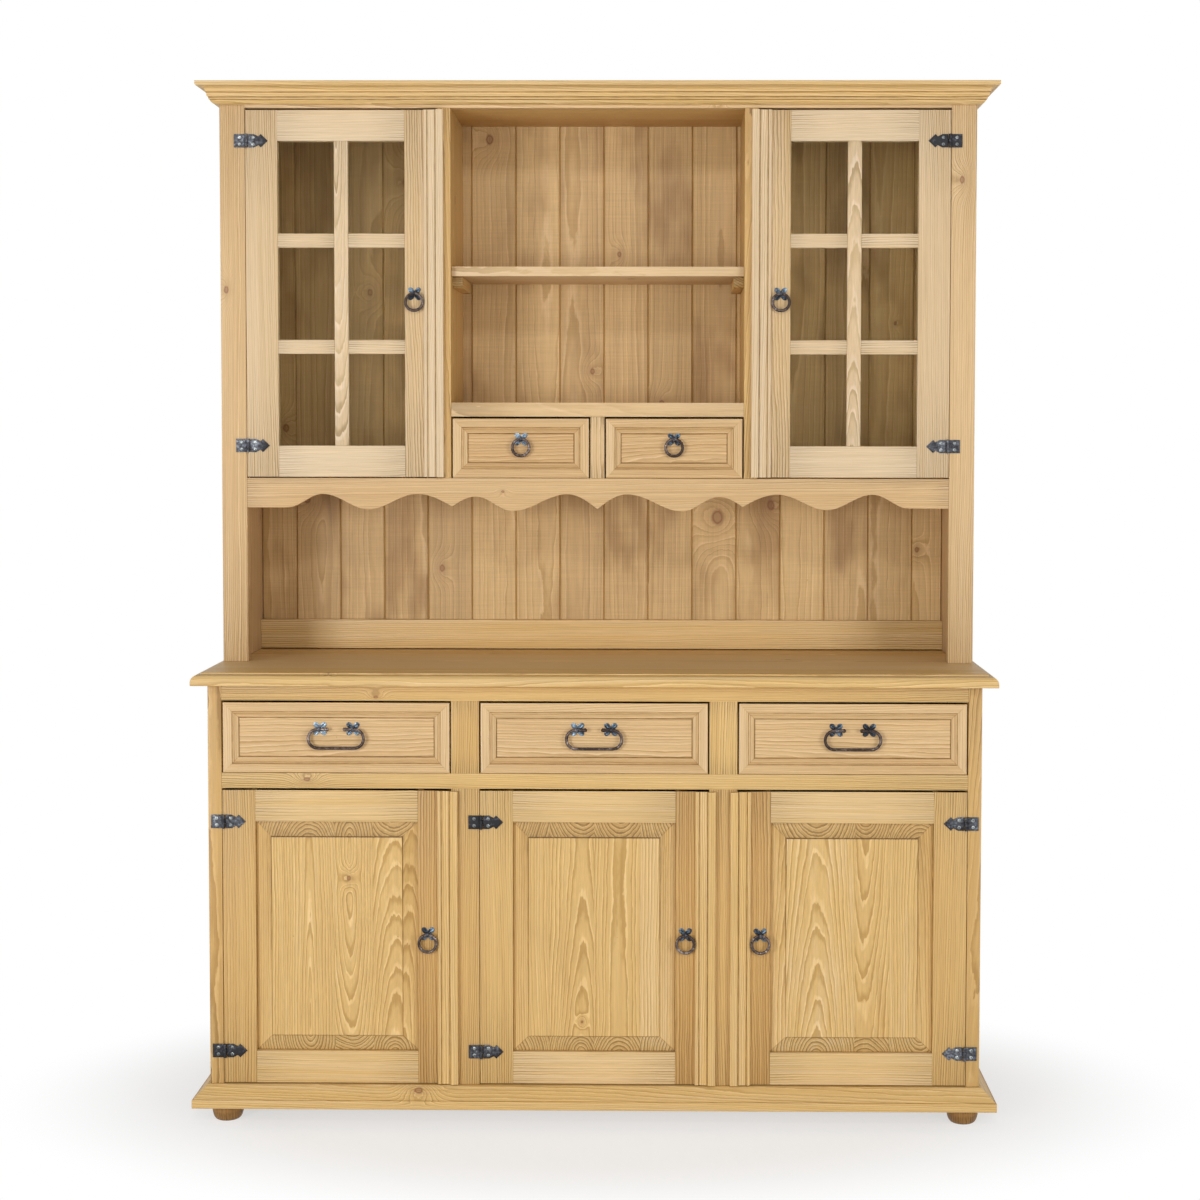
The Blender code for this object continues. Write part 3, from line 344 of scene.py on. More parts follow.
def pine_grain():
    """Growth rings cut by the board's faces, with a knot, fibres, stain, end grain, wax and painted shade,
    and saw marks.

    Boards carry the attributes it reads: grain (along, across and in from the heart), fibre (the way
    that the grain runs), knot (its place along and across the board, and its size), tone (paler below 0,
    darker above), wax_and_shade (how much dark wax has settled, and where shade is painted on, how dark
    that shade is) and bold (how strongly the rings show)."""
    wiring, given, result = node_group("pine_grain", "ShaderNodeTree", {
        "Honey": srgb(213, 176, 112), "Pale Board": srgb(223, 196, 155), "Dark Board": srgb(190, 147, 84),
        "Early Tint": (1.17, 1.23, 1.42, 1.0), "Late Tint": (0.77, 0.71, 0.57, 1.0),
        "Stain Tint": (0.68, 0.61, 0.54, 1.0), "Glaze Tint": (0.78, 0.70, 0.52, 1.0),
        "Knot Colour": srgb(132, 84, 48), "Wax and Shade Colour": srgb(84, 54, 24),
        "Ring Width": 0.0050, "Contrast": 1.0, "Blotches": 0.1, "Saw Marks": 0.0}, SURFACE)

    def attribute(name, output="Fac"):
        return wiring.made("ShaderNodeAttribute", output=output, attribute_name=name)

    grain = attribute("grain", "Vector")
    run, across, depth = wiring.parts(grain)

    # End grain, also where a bevel cuts it at a slant, shows the rings more and drinks more wax.
    normal = wiring.made("ShaderNodeTexCoord", output="Normal")
    ends = wiring.math("ABSOLUTE", wiring.vector("DOT_PRODUCT", normal, attribute("fibre", "Vector")))
    slanted = wiring.fade(ends, 0.04, 0.16)

    # The knot: a dark rim round a brown core, which the rings swerve round.
    knot_run, knot_across, knot_size = wiring.parts(attribute("knot", "Vector"))
    knot_size = wiring.math("MAXIMUM", knot_size, 0.0001)
    away = wiring.combine((run - knot_run) * 0.75, across - knot_across, 0.0)
    ratio = (wiring.noise(grain, (90.0, 90.0, 90.0)) * 0.004 + wiring.vector("LENGTH", away)) / knot_size
    core = wiring.fade(ratio, 1.15, 0.75)
    rim = wiring.fade(ratio, 0.55, 0.95) * wiring.fade(ratio, 1.45, 1.0)
    halo = wiring.fade(ratio, 4.5, 1.0)
    swerve = wiring.math("POWER", 2.718, ratio * ratio * -0.05) * knot_size * 6.0

    # Rings: distance from the heart, wandering along the board and swerving round the knot.
    radius = wiring.math("SQRT", across * across + depth * depth)
    radius += wiring.noise(grain, (2.2, 9.0, 9.0), 1.0) * 0.020
    radius += wiring.noise(grain, (13.0, 45.0, 45.0), 3.0, 0.6) * 0.0052
    radius += swerve
    pace = wiring.made("ShaderNodeTexNoise", {"W": radius * 70.0, "Scale": 1.0}, noise_dimensions="1D")
    rings = pace * 1.6 + radius / given["Ring Width"]
    phase = wiring.math("FRACT", rings)
    year = wiring.made("ShaderNodeTexWhiteNoise", {"W": wiring.math("FLOOR", rings)}, noise_dimensions="1D")
    strength = (year * 0.8 + 0.4) * given["Contrast"] * attribute("bold") * (slanted * 2.0 + 1.0)
    late = (wiring.fade(phase, 0.56, 0.93) * wiring.fade(phase, 1.0, 0.97) * strength).clamped()
    early = (wiring.fade(phase, 0.27, 0.09) * wiring.fade(phase, 0.0, 0.04) * strength).clamped()

    # Fibres, slow drifts of tone, blotches of stain, and saw marks across the grain.
    fibres = wiring.noise(grain, (7.0, 300.0, 300.0), 4.0, 0.62)
    threads = wiring.noise(grain, (22.0, 1100.0, 1100.0))
    streaks = wiring.noise(grain, (1.5, 95.0, 95.0), 3.0)
    drift = wiring.noise(grain, (2.5, 14.0, 14.0))
    stain = wiring.fade(wiring.noise(grain, (3.2, 7.0, 7.0), 3.0, 0.6), -0.02, 0.24)
    saw = wiring.noise(grain, (420.0, 9.0, 9.0), 2.0, 0.6) * given["Saw Marks"]

    tone = drift * 0.4 + attribute("tone") + streaks * 1.1
    colour = wiring.blend((tone * -1.0).clamped(), given["Honey"], given["Pale Board"])
    colour = wiring.blend(tone.clamped(), colour, given["Dark Board"])
    colour = wiring.blend(late, colour, given["Late Tint"], "MULTIPLY")
    colour = wiring.blend(early, colour, given["Early Tint"], "MULTIPLY")
    colour = wiring.blend((stain * given["Blotches"]).clamped(), colour, given["Stain Tint"], "MULTIPLY")
    shade = fibres * 0.42 + 1.0 + threads * 0.30 + saw * 0.30
    shade += slanted * -0.13 + slanted * late * -0.22 + wiring.fade(ends, 0.5, 0.95) * -0.18
    colour = wiring.blend(1.0, colour, wiring.combine(shade, shade, shade), "MULTIPLY")
    colour = wiring.blend((core * 0.45 + halo * 0.16 + rim * 0.40).clamped(), colour, given["Knot Colour"])

    # Wax and painted shade: a thin brown glaze, and dark where it is thick; where a board sets this value
    # for shade, it paints the shade of a recess or of a shaded face.
    patchy = (wiring.noise(grain, (40.0, 140.0, 140.0), 3.0) * 0.9 + 0.82).clamped()
    waxed_and_shaded = (attribute("wax_and_shade") * patchy).clamped()
    colour = wiring.blend(wiring.fade(waxed_and_shaded, 0.0, 0.5), colour, given["Glaze Tint"], "MULTIPLY")
    colour = wiring.blend(wiring.fade(waxed_and_shaded, 0.25, 1.0), colour, given["Wax and Shade Colour"])

    wiring.feed(result["Colour"], colour)
    wiring.feed(result["Roughness"], fibres * 0.35 + 0.52 + late * -0.08)
    wiring.feed(result["Height"], fibres * 0.5 + late * 0.6 + saw * 0.9)
    return wiring.tree


def forged_metal():
    """Hammered metal: shallow dents, dark scale that comes and goes from piece to piece, and rubbed spots."""
    wiring, given, result = node_group("forged_metal", "ShaderNodeTree", {
        "Metal": srgb(88, 91, 100), "Scale Colour": srgb(46, 45, 48), "Rubbed": srgb(150, 156, 166),
        "Dents": 260.0, "Scale Share": 0.5, "Base Roughness": 0.45}, SURFACE)
    place = wiring.made("ShaderNodeTexCoord", output="Object")
    dents = wiring.made("ShaderNodeTexVoronoi", {"Vector": place, "Scale": given["Dents"]}, "Distance",
                        feature="SMOOTH_F1")
    cloud = wiring.noise(place, (190.0, 190.0, 190.0), 3.0, 0.6)
    patch = wiring.noise(place, (17.0, 17.0, 17.0), 1.0)
    grit = wiring.noise(place, (900.0, 900.0, 900.0))
    worn = patch * 1.1 + cloud + given["Scale Share"]
    colour = wiring.blend(wiring.fade(worn, 0.42, 0.62), given["Metal"], given["Scale Colour"])
    rubbed = wiring.fade(worn, 0.42, 0.28) * wiring.fade(dents, 0.2, 0.6)
    wiring.feed(result["Colour"], wiring.blend(rubbed, colour, given["Rubbed"]))
    wiring.feed(result["Roughness"], grit * 0.25 + given["Base Roughness"] + cloud * 0.3)
    wiring.feed(result["Height"], grit * 0.2 + dents)
    return wiring.tree


def material(name):
    """A new material; gives it with its wiring and its shader."""
    made = bpy.data.materials.new(name)
    made.use_nodes = True
    return made, Wiring(made.node_tree), made.node_tree.nodes["Principled BSDF"]


def surfaced(name, slot, group, values, relief, strength, metallic=0.0):
    """A finish whose colour, roughness and relief come from a node group."""
    made, wiring, shader = material(name)
    shader.inputs["Metallic"].default_value = metallic
    surface = wiring.node("ShaderNodeGroup", node_tree=group)
    for label, value in values.items():
        surface.inputs[label].default_value = value
    colour, rough, height = (Value(wiring, surface.outputs[label]) for label in SURFACE)
    bump = wiring.made("ShaderNodeBump", {"Strength": strength, "Distance": relief, "Height": height})
    for label, value in (("Base Color", colour), ("Roughness", rough), ("Normal", bump)):
        wiring.feed(shader.inputs[label], value)
    return Finish(made, slot)


def clear_glass():
    """Plain sheet glass with a little wiping left on it."""
    made, wiring, shader = material("clear_glass")
    shader.inputs["Base Color"].default_value = (0.85, 0.835, 0.74, 1.0)
    shader.inputs["Transmission Weight"].default_value = 1.0
    shader.inputs["IOR"].default_value = 1.12
    wiping = wiring.noise(wiring.made("ShaderNodeTexCoord", output="Object"), (7.0, 7.0, 22.0), 3.0)
    wiring.feed(shader.inputs["Roughness"], (wiping * 0.05 + 0.03).clamped())
    return made


PINE_GRAIN = pine_grain()
FORGED_METAL = forged_metal()
IRON_SLOT = "burnished_iron"
WAXED_PINE = surfaced("waxed_pine", "waxed_pine", PINE_GRAIN, {}, 0.0005, 0.5)
HUTCH_PINE = surfaced("hutch_pine", "waxed_pine", PINE_GRAIN, {
    "Honey": srgb(212, 178, 129), "Pale Board": srgb(223, 194, 152), "Dark Board": srgb(192, 150, 96),
    "Ring Width": 0.0047, "Contrast": 0.75}, 0.0005, 0.5)
PALE_PINE = surfaced("pale_pine", "pale_pine", PINE_GRAIN, {
    "Honey": srgb(215, 188, 149), "Pale Board": srgb(224, 202, 168), "Dark Board": srgb(200, 166, 114),
    "Ring Width": 0.0044, "Contrast": 0.7}, 0.0005, 0.5)
SAWN_PINE = surfaced("sawn_pine", "sawn_pine", PINE_GRAIN, {
    "Honey": srgb(207, 173, 120), "Pale Board": srgb(217, 185, 132), "Dark Board": srgb(172, 138, 94),
    "Ring Width": 0.0085, "Contrast": 0.75, "Blotches": 1.2, "Saw Marks": 0.8}, 0.0006, 0.6)
BURNISHED_IRON = surfaced("burnished_iron", IRON_SLOT, FORGED_METAL, {
    "Metal": srgb(76, 78, 84), "Rubbed": srgb(120, 124, 132), "Base Roughness": 0.50}, 0.0004, 0.5, 0.8)
BLUED_STEEL = surfaced("blued_steel", IRON_SLOT, FORGED_METAL, {
    "Metal": srgb(104, 122, 138), "Scale Colour": srgb(44, 50, 58), "Rubbed": srgb(156, 176, 192),
    "Base Roughness": 0.40}, 0.0003, 0.4, 0.75)
BROWNED_IRON = surfaced("browned_iron", IRON_SLOT, FORGED_METAL, {
    "Metal": srgb(92, 80, 76), "Scale Colour": srgb(58, 48, 45), "Rubbed": srgb(150, 138, 132),
    "Base Roughness": 0.42}, 0.0003, 0.4, 0.8)
ZINC = surfaced("zinc_plate", IRON_SLOT, FORGED_METAL, {
    "Metal": srgb(160, 166, 164), "Scale Colour": srgb(112, 116, 116), "Rubbed": srgb(196, 200, 200),
    "Base Roughness": 0.36}, 0.0001, 0.3, 0.9)
CLEAR_GLASS = clear_glass()


# Shapes

def loft(rings, wax_and_shade=(), looped=False):
    """A closed skin through rings of as many points each; the ends are capped unless it loops."""
    shape = bmesh.new()
    dark = shape.verts.layers.float.new("wax_and_shade")
    rows = [[shape.verts.new(point) for point in ring] for ring in rings]
    for row, settled in zip(rows, wax_and_shade):
        for vert, amount in zip(row, settled):
            vert[dark] = amount
    for row, following in zip(rows, rows[1:] + (rows[:1] if looped else [])):
        for i in range(len(row)):
            j = (i + 1) % len(row)
            shape.faces.new((row[i], row[j], following[j], following[i]))
    if not looped:
        shape.faces.new(rows[0])
        shape.faces.new(rows[-1])
    bmesh.ops.recalc_face_normals(shape, faces=shape.faces)
    return shape


def block(low, high):
    """A box between two opposite corners."""
    (x0, x1), (y0, y1), (z0, z1) = (sorted(pair) for pair in zip(low, high))
    return loft([[(x0, y0, z), (x1, y0, z), (x1, y1, z), (x0, y1, z)] for z in (z0, z1)])


def spot(axis, along, others):
    """A point from its place along an axis and its places on the other two axes in order."""
    k = "XYZ".index(axis)
    return Vector((*others[:k], along, *others[k:]))


def prism(outline, low, high, along, wax_and_shade=None):
    """An outline drawn straight along X, Y or Z; its numbers are the other two axes in order."""
    rings = [[spot(along, s, point) for point in outline] for s in (low, high)]
    return loft(rings, [wax_and_shade, wax_and_shade] if wax_and_shade else ())


def angles(count):
    """Even steps of a full turn."""
    return [TURN * i / count for i in range(count)]


def turned(profile, centre, axis="Z", sides=32, looped=False):
    """A profile of (radius, place along the axis) turned about an axis through centre."""
    rings = []
    for r, s in profile:
        ring = [spot(axis, s, (r * math.cos(a), r * math.sin(a))) for a in angles(sides)]
        rings.append([point + Vector(centre) for point in ring])
    return loft(rings, looped=looped)


def tube(path, radii, looped=False, sides=16, turns=0, edge=0.0):
    """A wire along a path of points in one XZ plane; edge squares its section, which turns along the path."""
    rings = []
    for i, (point, radius) in enumerate(zip(path, radii)):
        before = path[i - 1] if i or looped else point
        after = path[(i + 1) % len(path)] if i + 1 < len(path) or looped else point
        out = (after - before).normalized().cross(AXES["Y"])
        twist = TURN * turns * i / len(path)
        ring = []
        for a in angles(sides):
            reach = radius * (1 - edge + edge * math.cos(4 * (a - twist)))
            ring.append(point + reach * (math.cos(a) * out + math.sin(a) * AXES["Y"]))
        rings.append(ring)
    return loft(rings, looped=looped)


def arc(centre, radius, start, end, steps):
    """Points on an arc, angles in degrees."""
    bends = [math.radians(start + (end - start) * i / steps) for i in range(steps + 1)]
    return [(centre[0] + radius * math.cos(a), centre[1] + radius * math.sin(a)) for a in bends]


def quarter(start, end, first, steps):
    """A quarter of an ellipse that leaves start along the first axis, "across" or "up"; start is left out."""
    points = []
    for i in range(1, steps + 1):
        a = math.pi / 2 * i / steps
        bend = (math.sin(a), 1 - math.cos(a)) if first == "across" else (1 - math.cos(a), math.sin(a))
        points.append(tuple(s + (e - s) * share for s, e, share in zip(start, end, bend)))
    return points


def eased(shape, width=EASE):
    """Takes the sharp arrises off a shape."""
    arrises = [edge for edge in shape.edges if edge.calc_face_angle(0.0) > SOFT_ANGLE]
    bmesh.ops.bevel(shape, geom=arrises, offset=width, segments=2, profile=0.6, affect="EDGES",
                    clamp_overlap=True)
    return shape


def hollows(profile):
    """How much dark wax settles at each point of a closed profile: most in its sharp inner corners."""
    turns = []
    for i, here in enumerate(profile):
        into = Vector(here) - Vector(profile[i - 1])
        out = Vector(profile[(i + 1) % len(profile)]) - Vector(here)
        turns.append(into.angle_signed(out, 0.0) if into.length and out.length else 0.0)
    way = 1 if sum(turns) > 0 else -1
    return [min(1.0, max(0.0, -way * turn / FULL_CORNER)) for turn in turns]


def creased(profile):
    """A profile with points close beside its inner corners, and the wax at each point, which fades away."""
    points, corners = [], []
    for i, (here, amount) in enumerate(zip(profile, hollows(profile))):
        here = Vector(here)
        if amount < OPEN_CORNER:
            points.append(here)
            continue
        corners.append((here, amount))
        beside = []
        for neighbour in (profile[i - 1], profile[(i + 1) % len(profile)]):
            way = Vector(neighbour) - here
            beside.append(here + way.normalized() * min(CREASE, 0.45 * way.length))
        points += [beside[0], here, beside[1]]
    dark = []
    for point in points:
        settled = [amount * (1 - (point - corner).length / WAX_REACH) for corner, amount in corners]
        dark.append(max([0.0] + settled))
    return [tuple(point) for point in points], dark


def sawn(shape, across, lines):
    """A closed shape sawn at lines across it into separate closed boards, with a hairline between them."""
    boards = []
    for start, end in zip([None] + lines, lines + [None]):
        board = shape.copy()
        for line, way in ((start, -1), (end, 1)):
            if line is not None:
                bmesh.ops.bisect_plane(board, geom=board.verts[:] + board.edges[:] + board.faces[:],
                                       plane_co=AXES[across] * (line - way * HAIRLINE / 2),
                                       plane_no=AXES[across] * way, clear_outer=True)
                bmesh.ops.holes_fill(board, edges=[edge for edge in board.edges if edge.is_boundary])
        bmesh.ops.recalc_face_normals(board, faces=board.faces)
        boards.append(board)
    shape.free()
    return boards


# Pieces

class Piece:
    """Shapes gathered in one mesh, which then rides on a body in place of CAD nodes."""

    def __init__(self, name):
        self.name = name
        self.whole = bmesh.new()
        self.soft_angle = SOFT_ANGLE

    def add(self, shape):
        mesh = bpy.data.meshes.new("shape")
        shape.to_mesh(mesh)
        shape.free()
        self.whole.from_mesh(mesh)
        bpy.data.meshes.remove(mesh)

    def hand_over(self, body, finish, *nodes):
        mesh = bpy.data.meshes.new(self.name)
        self.whole.to_mesh(mesh)
        self.whole.free()
        mesh.set_sharp_from_angle(angle=self.soft_angle)
        mesh.materials.append(finish.material)
        ride(self.name, mesh, body, finish.slot, *nodes)


def stand(name, data):
    """Puts a mesh, a light or a camera in the scene."""
    thing = bpy.data.objects.new(name, data)
    bpy.context.scene.collection.objects.link(thing)
    return thing


def ride(name, mesh, body, slot, *nodes):
    """Puts a finished mesh on its body."""
    piece = stand(name, mesh)
    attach(piece, body)
    if nodes:
        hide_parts(*nodes)


class Joinery(Piece):
    """A piece of boards and mouldings, each with its own run of grain."""

    def __init__(self, name, shade=0.0, knots=0.3, spread=0.09):
        super().__init__(name)
        self.chance = random.Random(name)
        self.shade, self.knots, self.spread = shade, knots, spread

    def lay(self, shape, along, face, figure=0.45, shade=0.0, heart=None, knot=None, steep=1.0, stain=0.0,
            bold=1.0):
        """Adds a board.

        figure is the chance that it shows arched grain and not straight lines. heart sets the arches
        instead, as (a point over the heart, its depth, its lean), and knot is (a point, a size). steep
        deepens the arches that a bevel cuts, stain darkens the whole board, and bold is how strongly the
        rings show."""
        along, face = AXES[along], AXES[face]
        across = along.cross(face)
        corners = [Vector(map(way, zip(*(vert.co for vert in shape.verts)))) for way in (min, max)]
        centre, span = (corners[0] + corners[1]) / 2, corners[1] - corners[0]
        length, width = abs(span.dot(along)), abs(span.dot(across))
        chance = self.chance
        start, side, tight, slope = chance.uniform(0.0, 60.0), chance.choice((-1, 1)), 1.0, 0.0
        if heart:
            aside, depth, lean = -(heart[0] - centre).dot(across), heart[1], heart[2]
        elif chance.random() < figure * min(1.0, width / WIDE_BOARD):
            aside, depth = chance.uniform(-0.35, 0.35) * width, chance.uniform(0.018, 0.040)
            lean = chance.choice((-1, 1)) * min(0.08, chance.uniform(0.5, 1.2) * depth / (length / 2))
        else:
            aside, depth = chance.choice((-1, 1)) * chance.uniform(0.05, 0.11), chance.uniform(0.0, 0.03)
            lean, tight = chance.uniform(-0.01, 0.01), chance.uniform(1.0, 1.4)
            slope = chance.uniform(-0.025, 0.025)
        place, size = centre, 0.0
        if knot:
            place, size = knot
        elif length > KNOT_LENGTH and chance.random() < self.knots:
            reach = chance.uniform(-1, 1) * length * along + chance.uniform(-1, 1) * width * across
            place, size = centre + 0.42 * reach, chance.uniform(0.0025, 0.0055)
        tone = self.shade + shade + chance.gauss(0.0, self.spread)
        layers = shape.verts.layers
        grain, fibre, bud = (layers.float_vector.new(name) for name in ("grain", "fibre", "knot"))
        toned, rings, wax_and_shade = layers.float.new("tone"), layers.float.new("bold"), layers.float["wax_and_shade"]
        knot_run = (place - centre).dot(along)
        knot_at = (start + knot_run, tight * (aside + (place - centre).dot(across) + slope * knot_run), size)
        for vert in shape.verts:
            reach = vert.co - centre
            run = reach.dot(along)
            inward = depth + steep * side * reach.dot(face) + lean * run
            vert[grain] = (start + run, tight * (aside + reach.dot(across) + slope * run), tight * inward)
            vert[fibre] = along
            vert[bud] = knot_at
            vert[toned] = tone
            vert[rings] = bold
            vert[wax_and_shade] = min(1.0, vert[wax_and_shade] + stain)
        self.add(shape)

    def board(self, low, high, along, face, ease=EASE, **grain):
        self.lay(eased(block(low, high), ease), along, face, **grain)

    def glued(self, shape, along, across, width, **grain):
        """A shape glued up from boards of about this width."""
        places = [vert.co.dot(AXES[across]) for vert in shape.verts]
        low, high = min(places), max(places)
        count = max(1, round((high - low) / width))
        step = (high - low) / count
        lines = [low + step * (i + self.chance.uniform(-0.14, 0.14)) for i in range(1, count)]
        face = next(axis for axis in "XYZ" if axis not in (along, across))
        for board in sawn(shape, across, lines):
            self.lay(board, along, face, **grain)

    def panel(self, low, high, along, across, width, ease=EASE, **grain):
        self.glued(eased(block(low, high), ease), along, across, width, **grain)

    def mitred(self, profile, half_width, front, back, knot=None, bold=1.0):
        """A moulding round the front and both ends; profile is a closed outline of (projection, height)."""
        profile, wax_and_shade = creased(profile)
        corners = ((-1, back), (-1, front), (1, front), (1, back))
        for k, along in enumerate("YXY"):
            ends = []
            for side, y in corners[k:k + 2]:
                out_y = -1 if y == front else 0
                ends.append([(side * (half_width + out), y + out_y * out, z) for out, z in profile])
            face, knotted = ("Y", knot) if along == "X" else ("X", None)
            self.lay(loft(ends, [wax_and_shade, wax_and_shade]), along, face, figure=0.0, knot=knotted, bold=bold)


def plain(node, kind, along, across, width, shade=0.0, finish=WAXED_PINE, lift=0.0, **grain):
    """A node that is one flat board or a glued panel; lift is a slit under it."""
    low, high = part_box(node)
    piece = Joinery(f"{node}_{kind}", shade)
    piece.panel(low + Vector((0.0, 0.0, lift)), high, along, across, width, **grain)
    piece.hand_over("case", finish, node)


# Carcass of the base

def base_sides():
    """Glued panels with a drawer ledge on the inside."""
    for side, name in zip((-1, 1), BOTH_SIDES):
        node = f"base_side_{name}"
        low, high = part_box(node)
        outer = low.x if side < 0 else high.x
        inner = outer - side * SIDE_T
        piece = Joinery(f"{node}_panel", 0.5)
        piece.panel((outer, low.y, low.z), (inner, high.y, high.z), "Z", "Y", 0.105)
        piece.board((inner, BASE_FACE + FRAME_T + FIT, LEDGE_TOP - RUNNER_H),
                    (inner - side * RUNNER_W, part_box("base_partition_left")[1].y, LEDGE_TOP), "Y", "Z")
        piece.hand_over("case", WAXED_PINE, node)


def base_partitions():
    """Boards behind the inner stiles, with ledges and guides for the drawers."""
    for name in BOTH_SIDES:
        node = f"base_partition_{name}"
        low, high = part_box(node)
        centre, half = (low.x + high.x) / 2, PARTITION_T / 2
        piece = Joinery(f"{node}_boards", 0.1)
        piece.panel((centre - half, low.y, low.z), (centre + half, high.y, high.z), "Z", "Y", 0.1)
        for side, edge in ((-1, low.x), (1, high.x)):
            face, guide = centre + side * half, centre + side * STILE_W / 2
            piece.board((face, low.y, LEDGE_TOP - RUNNER_H), (edge, high.y, LEDGE_TOP), "Y", "Z")
            piece.board((face, low.y, LEDGE_TOP), (guide, high.y, LEDGE_TOP + RUNNER_H), "Y", "Z")
        piece.hand_over("case", WAXED_PINE, node)


def base_bottom():
    """The bottom board and four turned feet."""
    low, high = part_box("base_bottom_with_feet")
    under = high.z - BOTTOM_T
    foot_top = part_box("plinth")[0].z
    piece = Joinery("base_bottom_and_feet", 0.1)
    piece.panel((low.x, low.y, under), high, "X", "Y", 0.11)
    belly = 0.62 * foot_top
    profile = [(FOOT_NECK, under), (FOOT_NECK, foot_top)]
    profile += quarter((FOOT_NECK, foot_top), (FOOT_RADIUS, belly), "across", 6)
    profile += quarter((FOOT_RADIUS, belly), (FOOT_STAND_R, 0.0), "up", 9)
    for x in (low.x + FOOT_INSET, high.x - FOOT_INSET):
        for y in (low.y + FOOT_INSET, high.y - FOOT_RADIUS):
            # Feet darkened: their dark stain and painted shade under the plinth.
            piece.lay(turned(profile, (x, y, 0.0)), "Z", "Y", **FOOT)
    piece.hand_over("case", WAXED_PINE, "base_bottom_with_feet")


def base_face_frame():
    """Two through rails, with short stiles between and below them."""
    low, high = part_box("base_face_frame")
    left, middle, right = (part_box(f"drawer_{name}") for name in ("left", "middle", "right"))
    under, top_rail = LEDGE_TOP - MID_RAIL_H, left[1].z + REVEAL
    back = low.y + FRAME_T
    piece = Joinery("base_rails_and_stiles", 0.1)
    piece.board((low.x, low.y, top_rail), (high.x, back, high.z), "X", "Y", figure=0.0)
    knot = (Vector((0.77 * low.x, low.y, LEDGE_TOP - 0.4 * MID_RAIL_H)), 0.0045)
    piece.board((low.x, low.y, under), (high.x, back, LEDGE_TOP), "X", "Y", figure=0.0, knot=knot)
    for before, after in ((left, middle), (middle, right)):
        x0, x1 = before[1].x + REVEAL, after[0].x - REVEAL
        for z0, z1 in ((low.z, under), (LEDGE_TOP, top_rail)):
            piece.board((x0, low.y, z0), (x1, back, z1), "Z", "Y", figure=0.0, **INNER_STILE)
    piece.hand_over("case", WAXED_PINE, "base_face_frame")


def plinth():
    """A moulded skirting, mitred at the front corners."""
    low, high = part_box("plinth")
    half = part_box("base_side_right")[1].x
    out, tall = high.x - half, high.z - low.z
    bevel, quirk = low.z + 0.42 * tall, 0.0009
    top, lip = 0.20 * out, 0.0014
    profile = [(FIT, low.z), (out - 0.001, low.z), (out, low.z + 0.001), (out, bevel - quirk)]
    profile += quarter((out, bevel - quirk), (out - quirk, bevel), "up", 3)
    profile += [(out - 2 * quirk, bevel), (top, high.z - lip)]
    profile += quarter((top, high.z - lip), (top - lip, high.z), "up", 3)
    profile += [(FIT, high.z)]
    piece = Joinery("plinth_moulding", 0.1)
    knot = Vector((-0.455 * half, BASE_FACE - 0.5 * out, low.z + 0.8 * tall))
    piece.mitred(profile, half, BASE_FACE, high.y, (knot, 0.0055), 1.4)
    piece.hand_over("case", WAXED_PINE, "plinth")


def countertop():
    """Glued boards with a bead and an ovolo worked round the front and the ends."""
    low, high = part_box("countertop")
    thick, wide, arris = high.z - low.z, COUNTER_EDGE_W, 0.0008
    shelf, foot = thick - 0.13 * thick, 0.28 * thick
    corner = (wide, shelf)
    edge = [(0.001, 0.0), (0.0, 0.001), (0.0, foot)]
    edge += quarter((0.0, foot), (0.8 * wide, shelf), "up", 9)
    edge += [(wide - CREASE, shelf), corner, (wide, shelf + CREASE)]
    edge += [(wide, thick - arris), (wide + arris, thick)]
    rings, wax_and_shade = [], []
    for inset, rise in edge:
        x0, x1, front, z = low.x + inset, high.x - inset, low.y + inset, low.z + rise
        rings.append([(x0, high.y, z), (x0, front, z), (x1, front, z), (x1, high.y, z)])
        wax_and_shade.append([0.6 if (inset, rise) == corner else 0.0] * 4)
    # The whole top face gets a light dark coat: painted shade on the top of the countertop.
    wax_and_shade[-1] = [0.2] * 4
    piece = Joinery("countertop_boards", -0.35, spread=0.2)
    piece.glued(loft(rings, wax_and_shade), "X", "Y", 0.115, figure=0.7)
    piece.hand_over("case", WAXED_PINE, "countertop")


# Carcass of the hutch

def hutch_face_frame():
    """Two stiles from the countertop to the cornice and a top rail between them."""
    low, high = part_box("hutch_face_frame")
    back = low.y + FRAME_T
    left, right = low.x + HUTCH_STILE_W, high.x - HUTCH_STILE_W
    piece = Joinery("hutch_stiles_and_rail", 0.1)
    for x0, x1, knot in ((low.x, left, (0.22, 0.65)), (right, high.x, (0.42, 0.84))):
        at = Vector((x0 + knot[0] * (x1 - x0), low.y, low.z + knot[1] * (high.z - low.z)))
        piece.board((x0, low.y, low.z), (x1, back, high.z), "Z", "Y", figure=0.0, knot=(at, 0.005), bold=1.1)
    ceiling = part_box("hutch_top")[0].z
    piece.board((left, low.y, ceiling), (right, back, high.z), "X", "Y", figure=0.2)
    piece.hand_over("case", HUTCH_PINE, "hutch_face_frame")


def flat_boards():
    """The sides, partitions, shelves and rails of the hutch, and the back of the base."""
    for name in BOTH_SIDES:
        plain(f"hutch_side_{name}", "panel", "Z", "Y", 0.12, 0.0, HUTCH_PINE)
        # The partitions are darker: painted shade on the side walls of the open compartment.
        plain(f"hutch_partition_{name}", "panel", "Z", "Y", 0.125, 0.4)
    # The top board is darker: painted shade on the ceiling of the open compartment beneath it.
    plain("hutch_top", "boards", "X", "Y", 0.12, 0.75)
    plain("hutch_deck", "boards", "X", "Y", 0.12)
    plain("compartment_floor", "boards", "X", "Y", 0.125, -0.15, HUTCH_PINE, figure=0.0, bold=0.4)
    plain("compartment_shelf", "boards", "X", "Y", 0.12, -0.45, HUTCH_PINE, figure=0.0, bold=0.4)
    plain("small_drawer_divider", "board", "Z", "Y", 0.125, -0.2, HUTCH_PINE, figure=0.0)
    plain("niche_back_rail", "board", "X", "Z", 0.1, -0.25, lift=RAIL_LIFT)
    plain("base_back", "boards", "Z", "X", 0.12, 0.0, SAWN_PINE, -BACK_LAP)


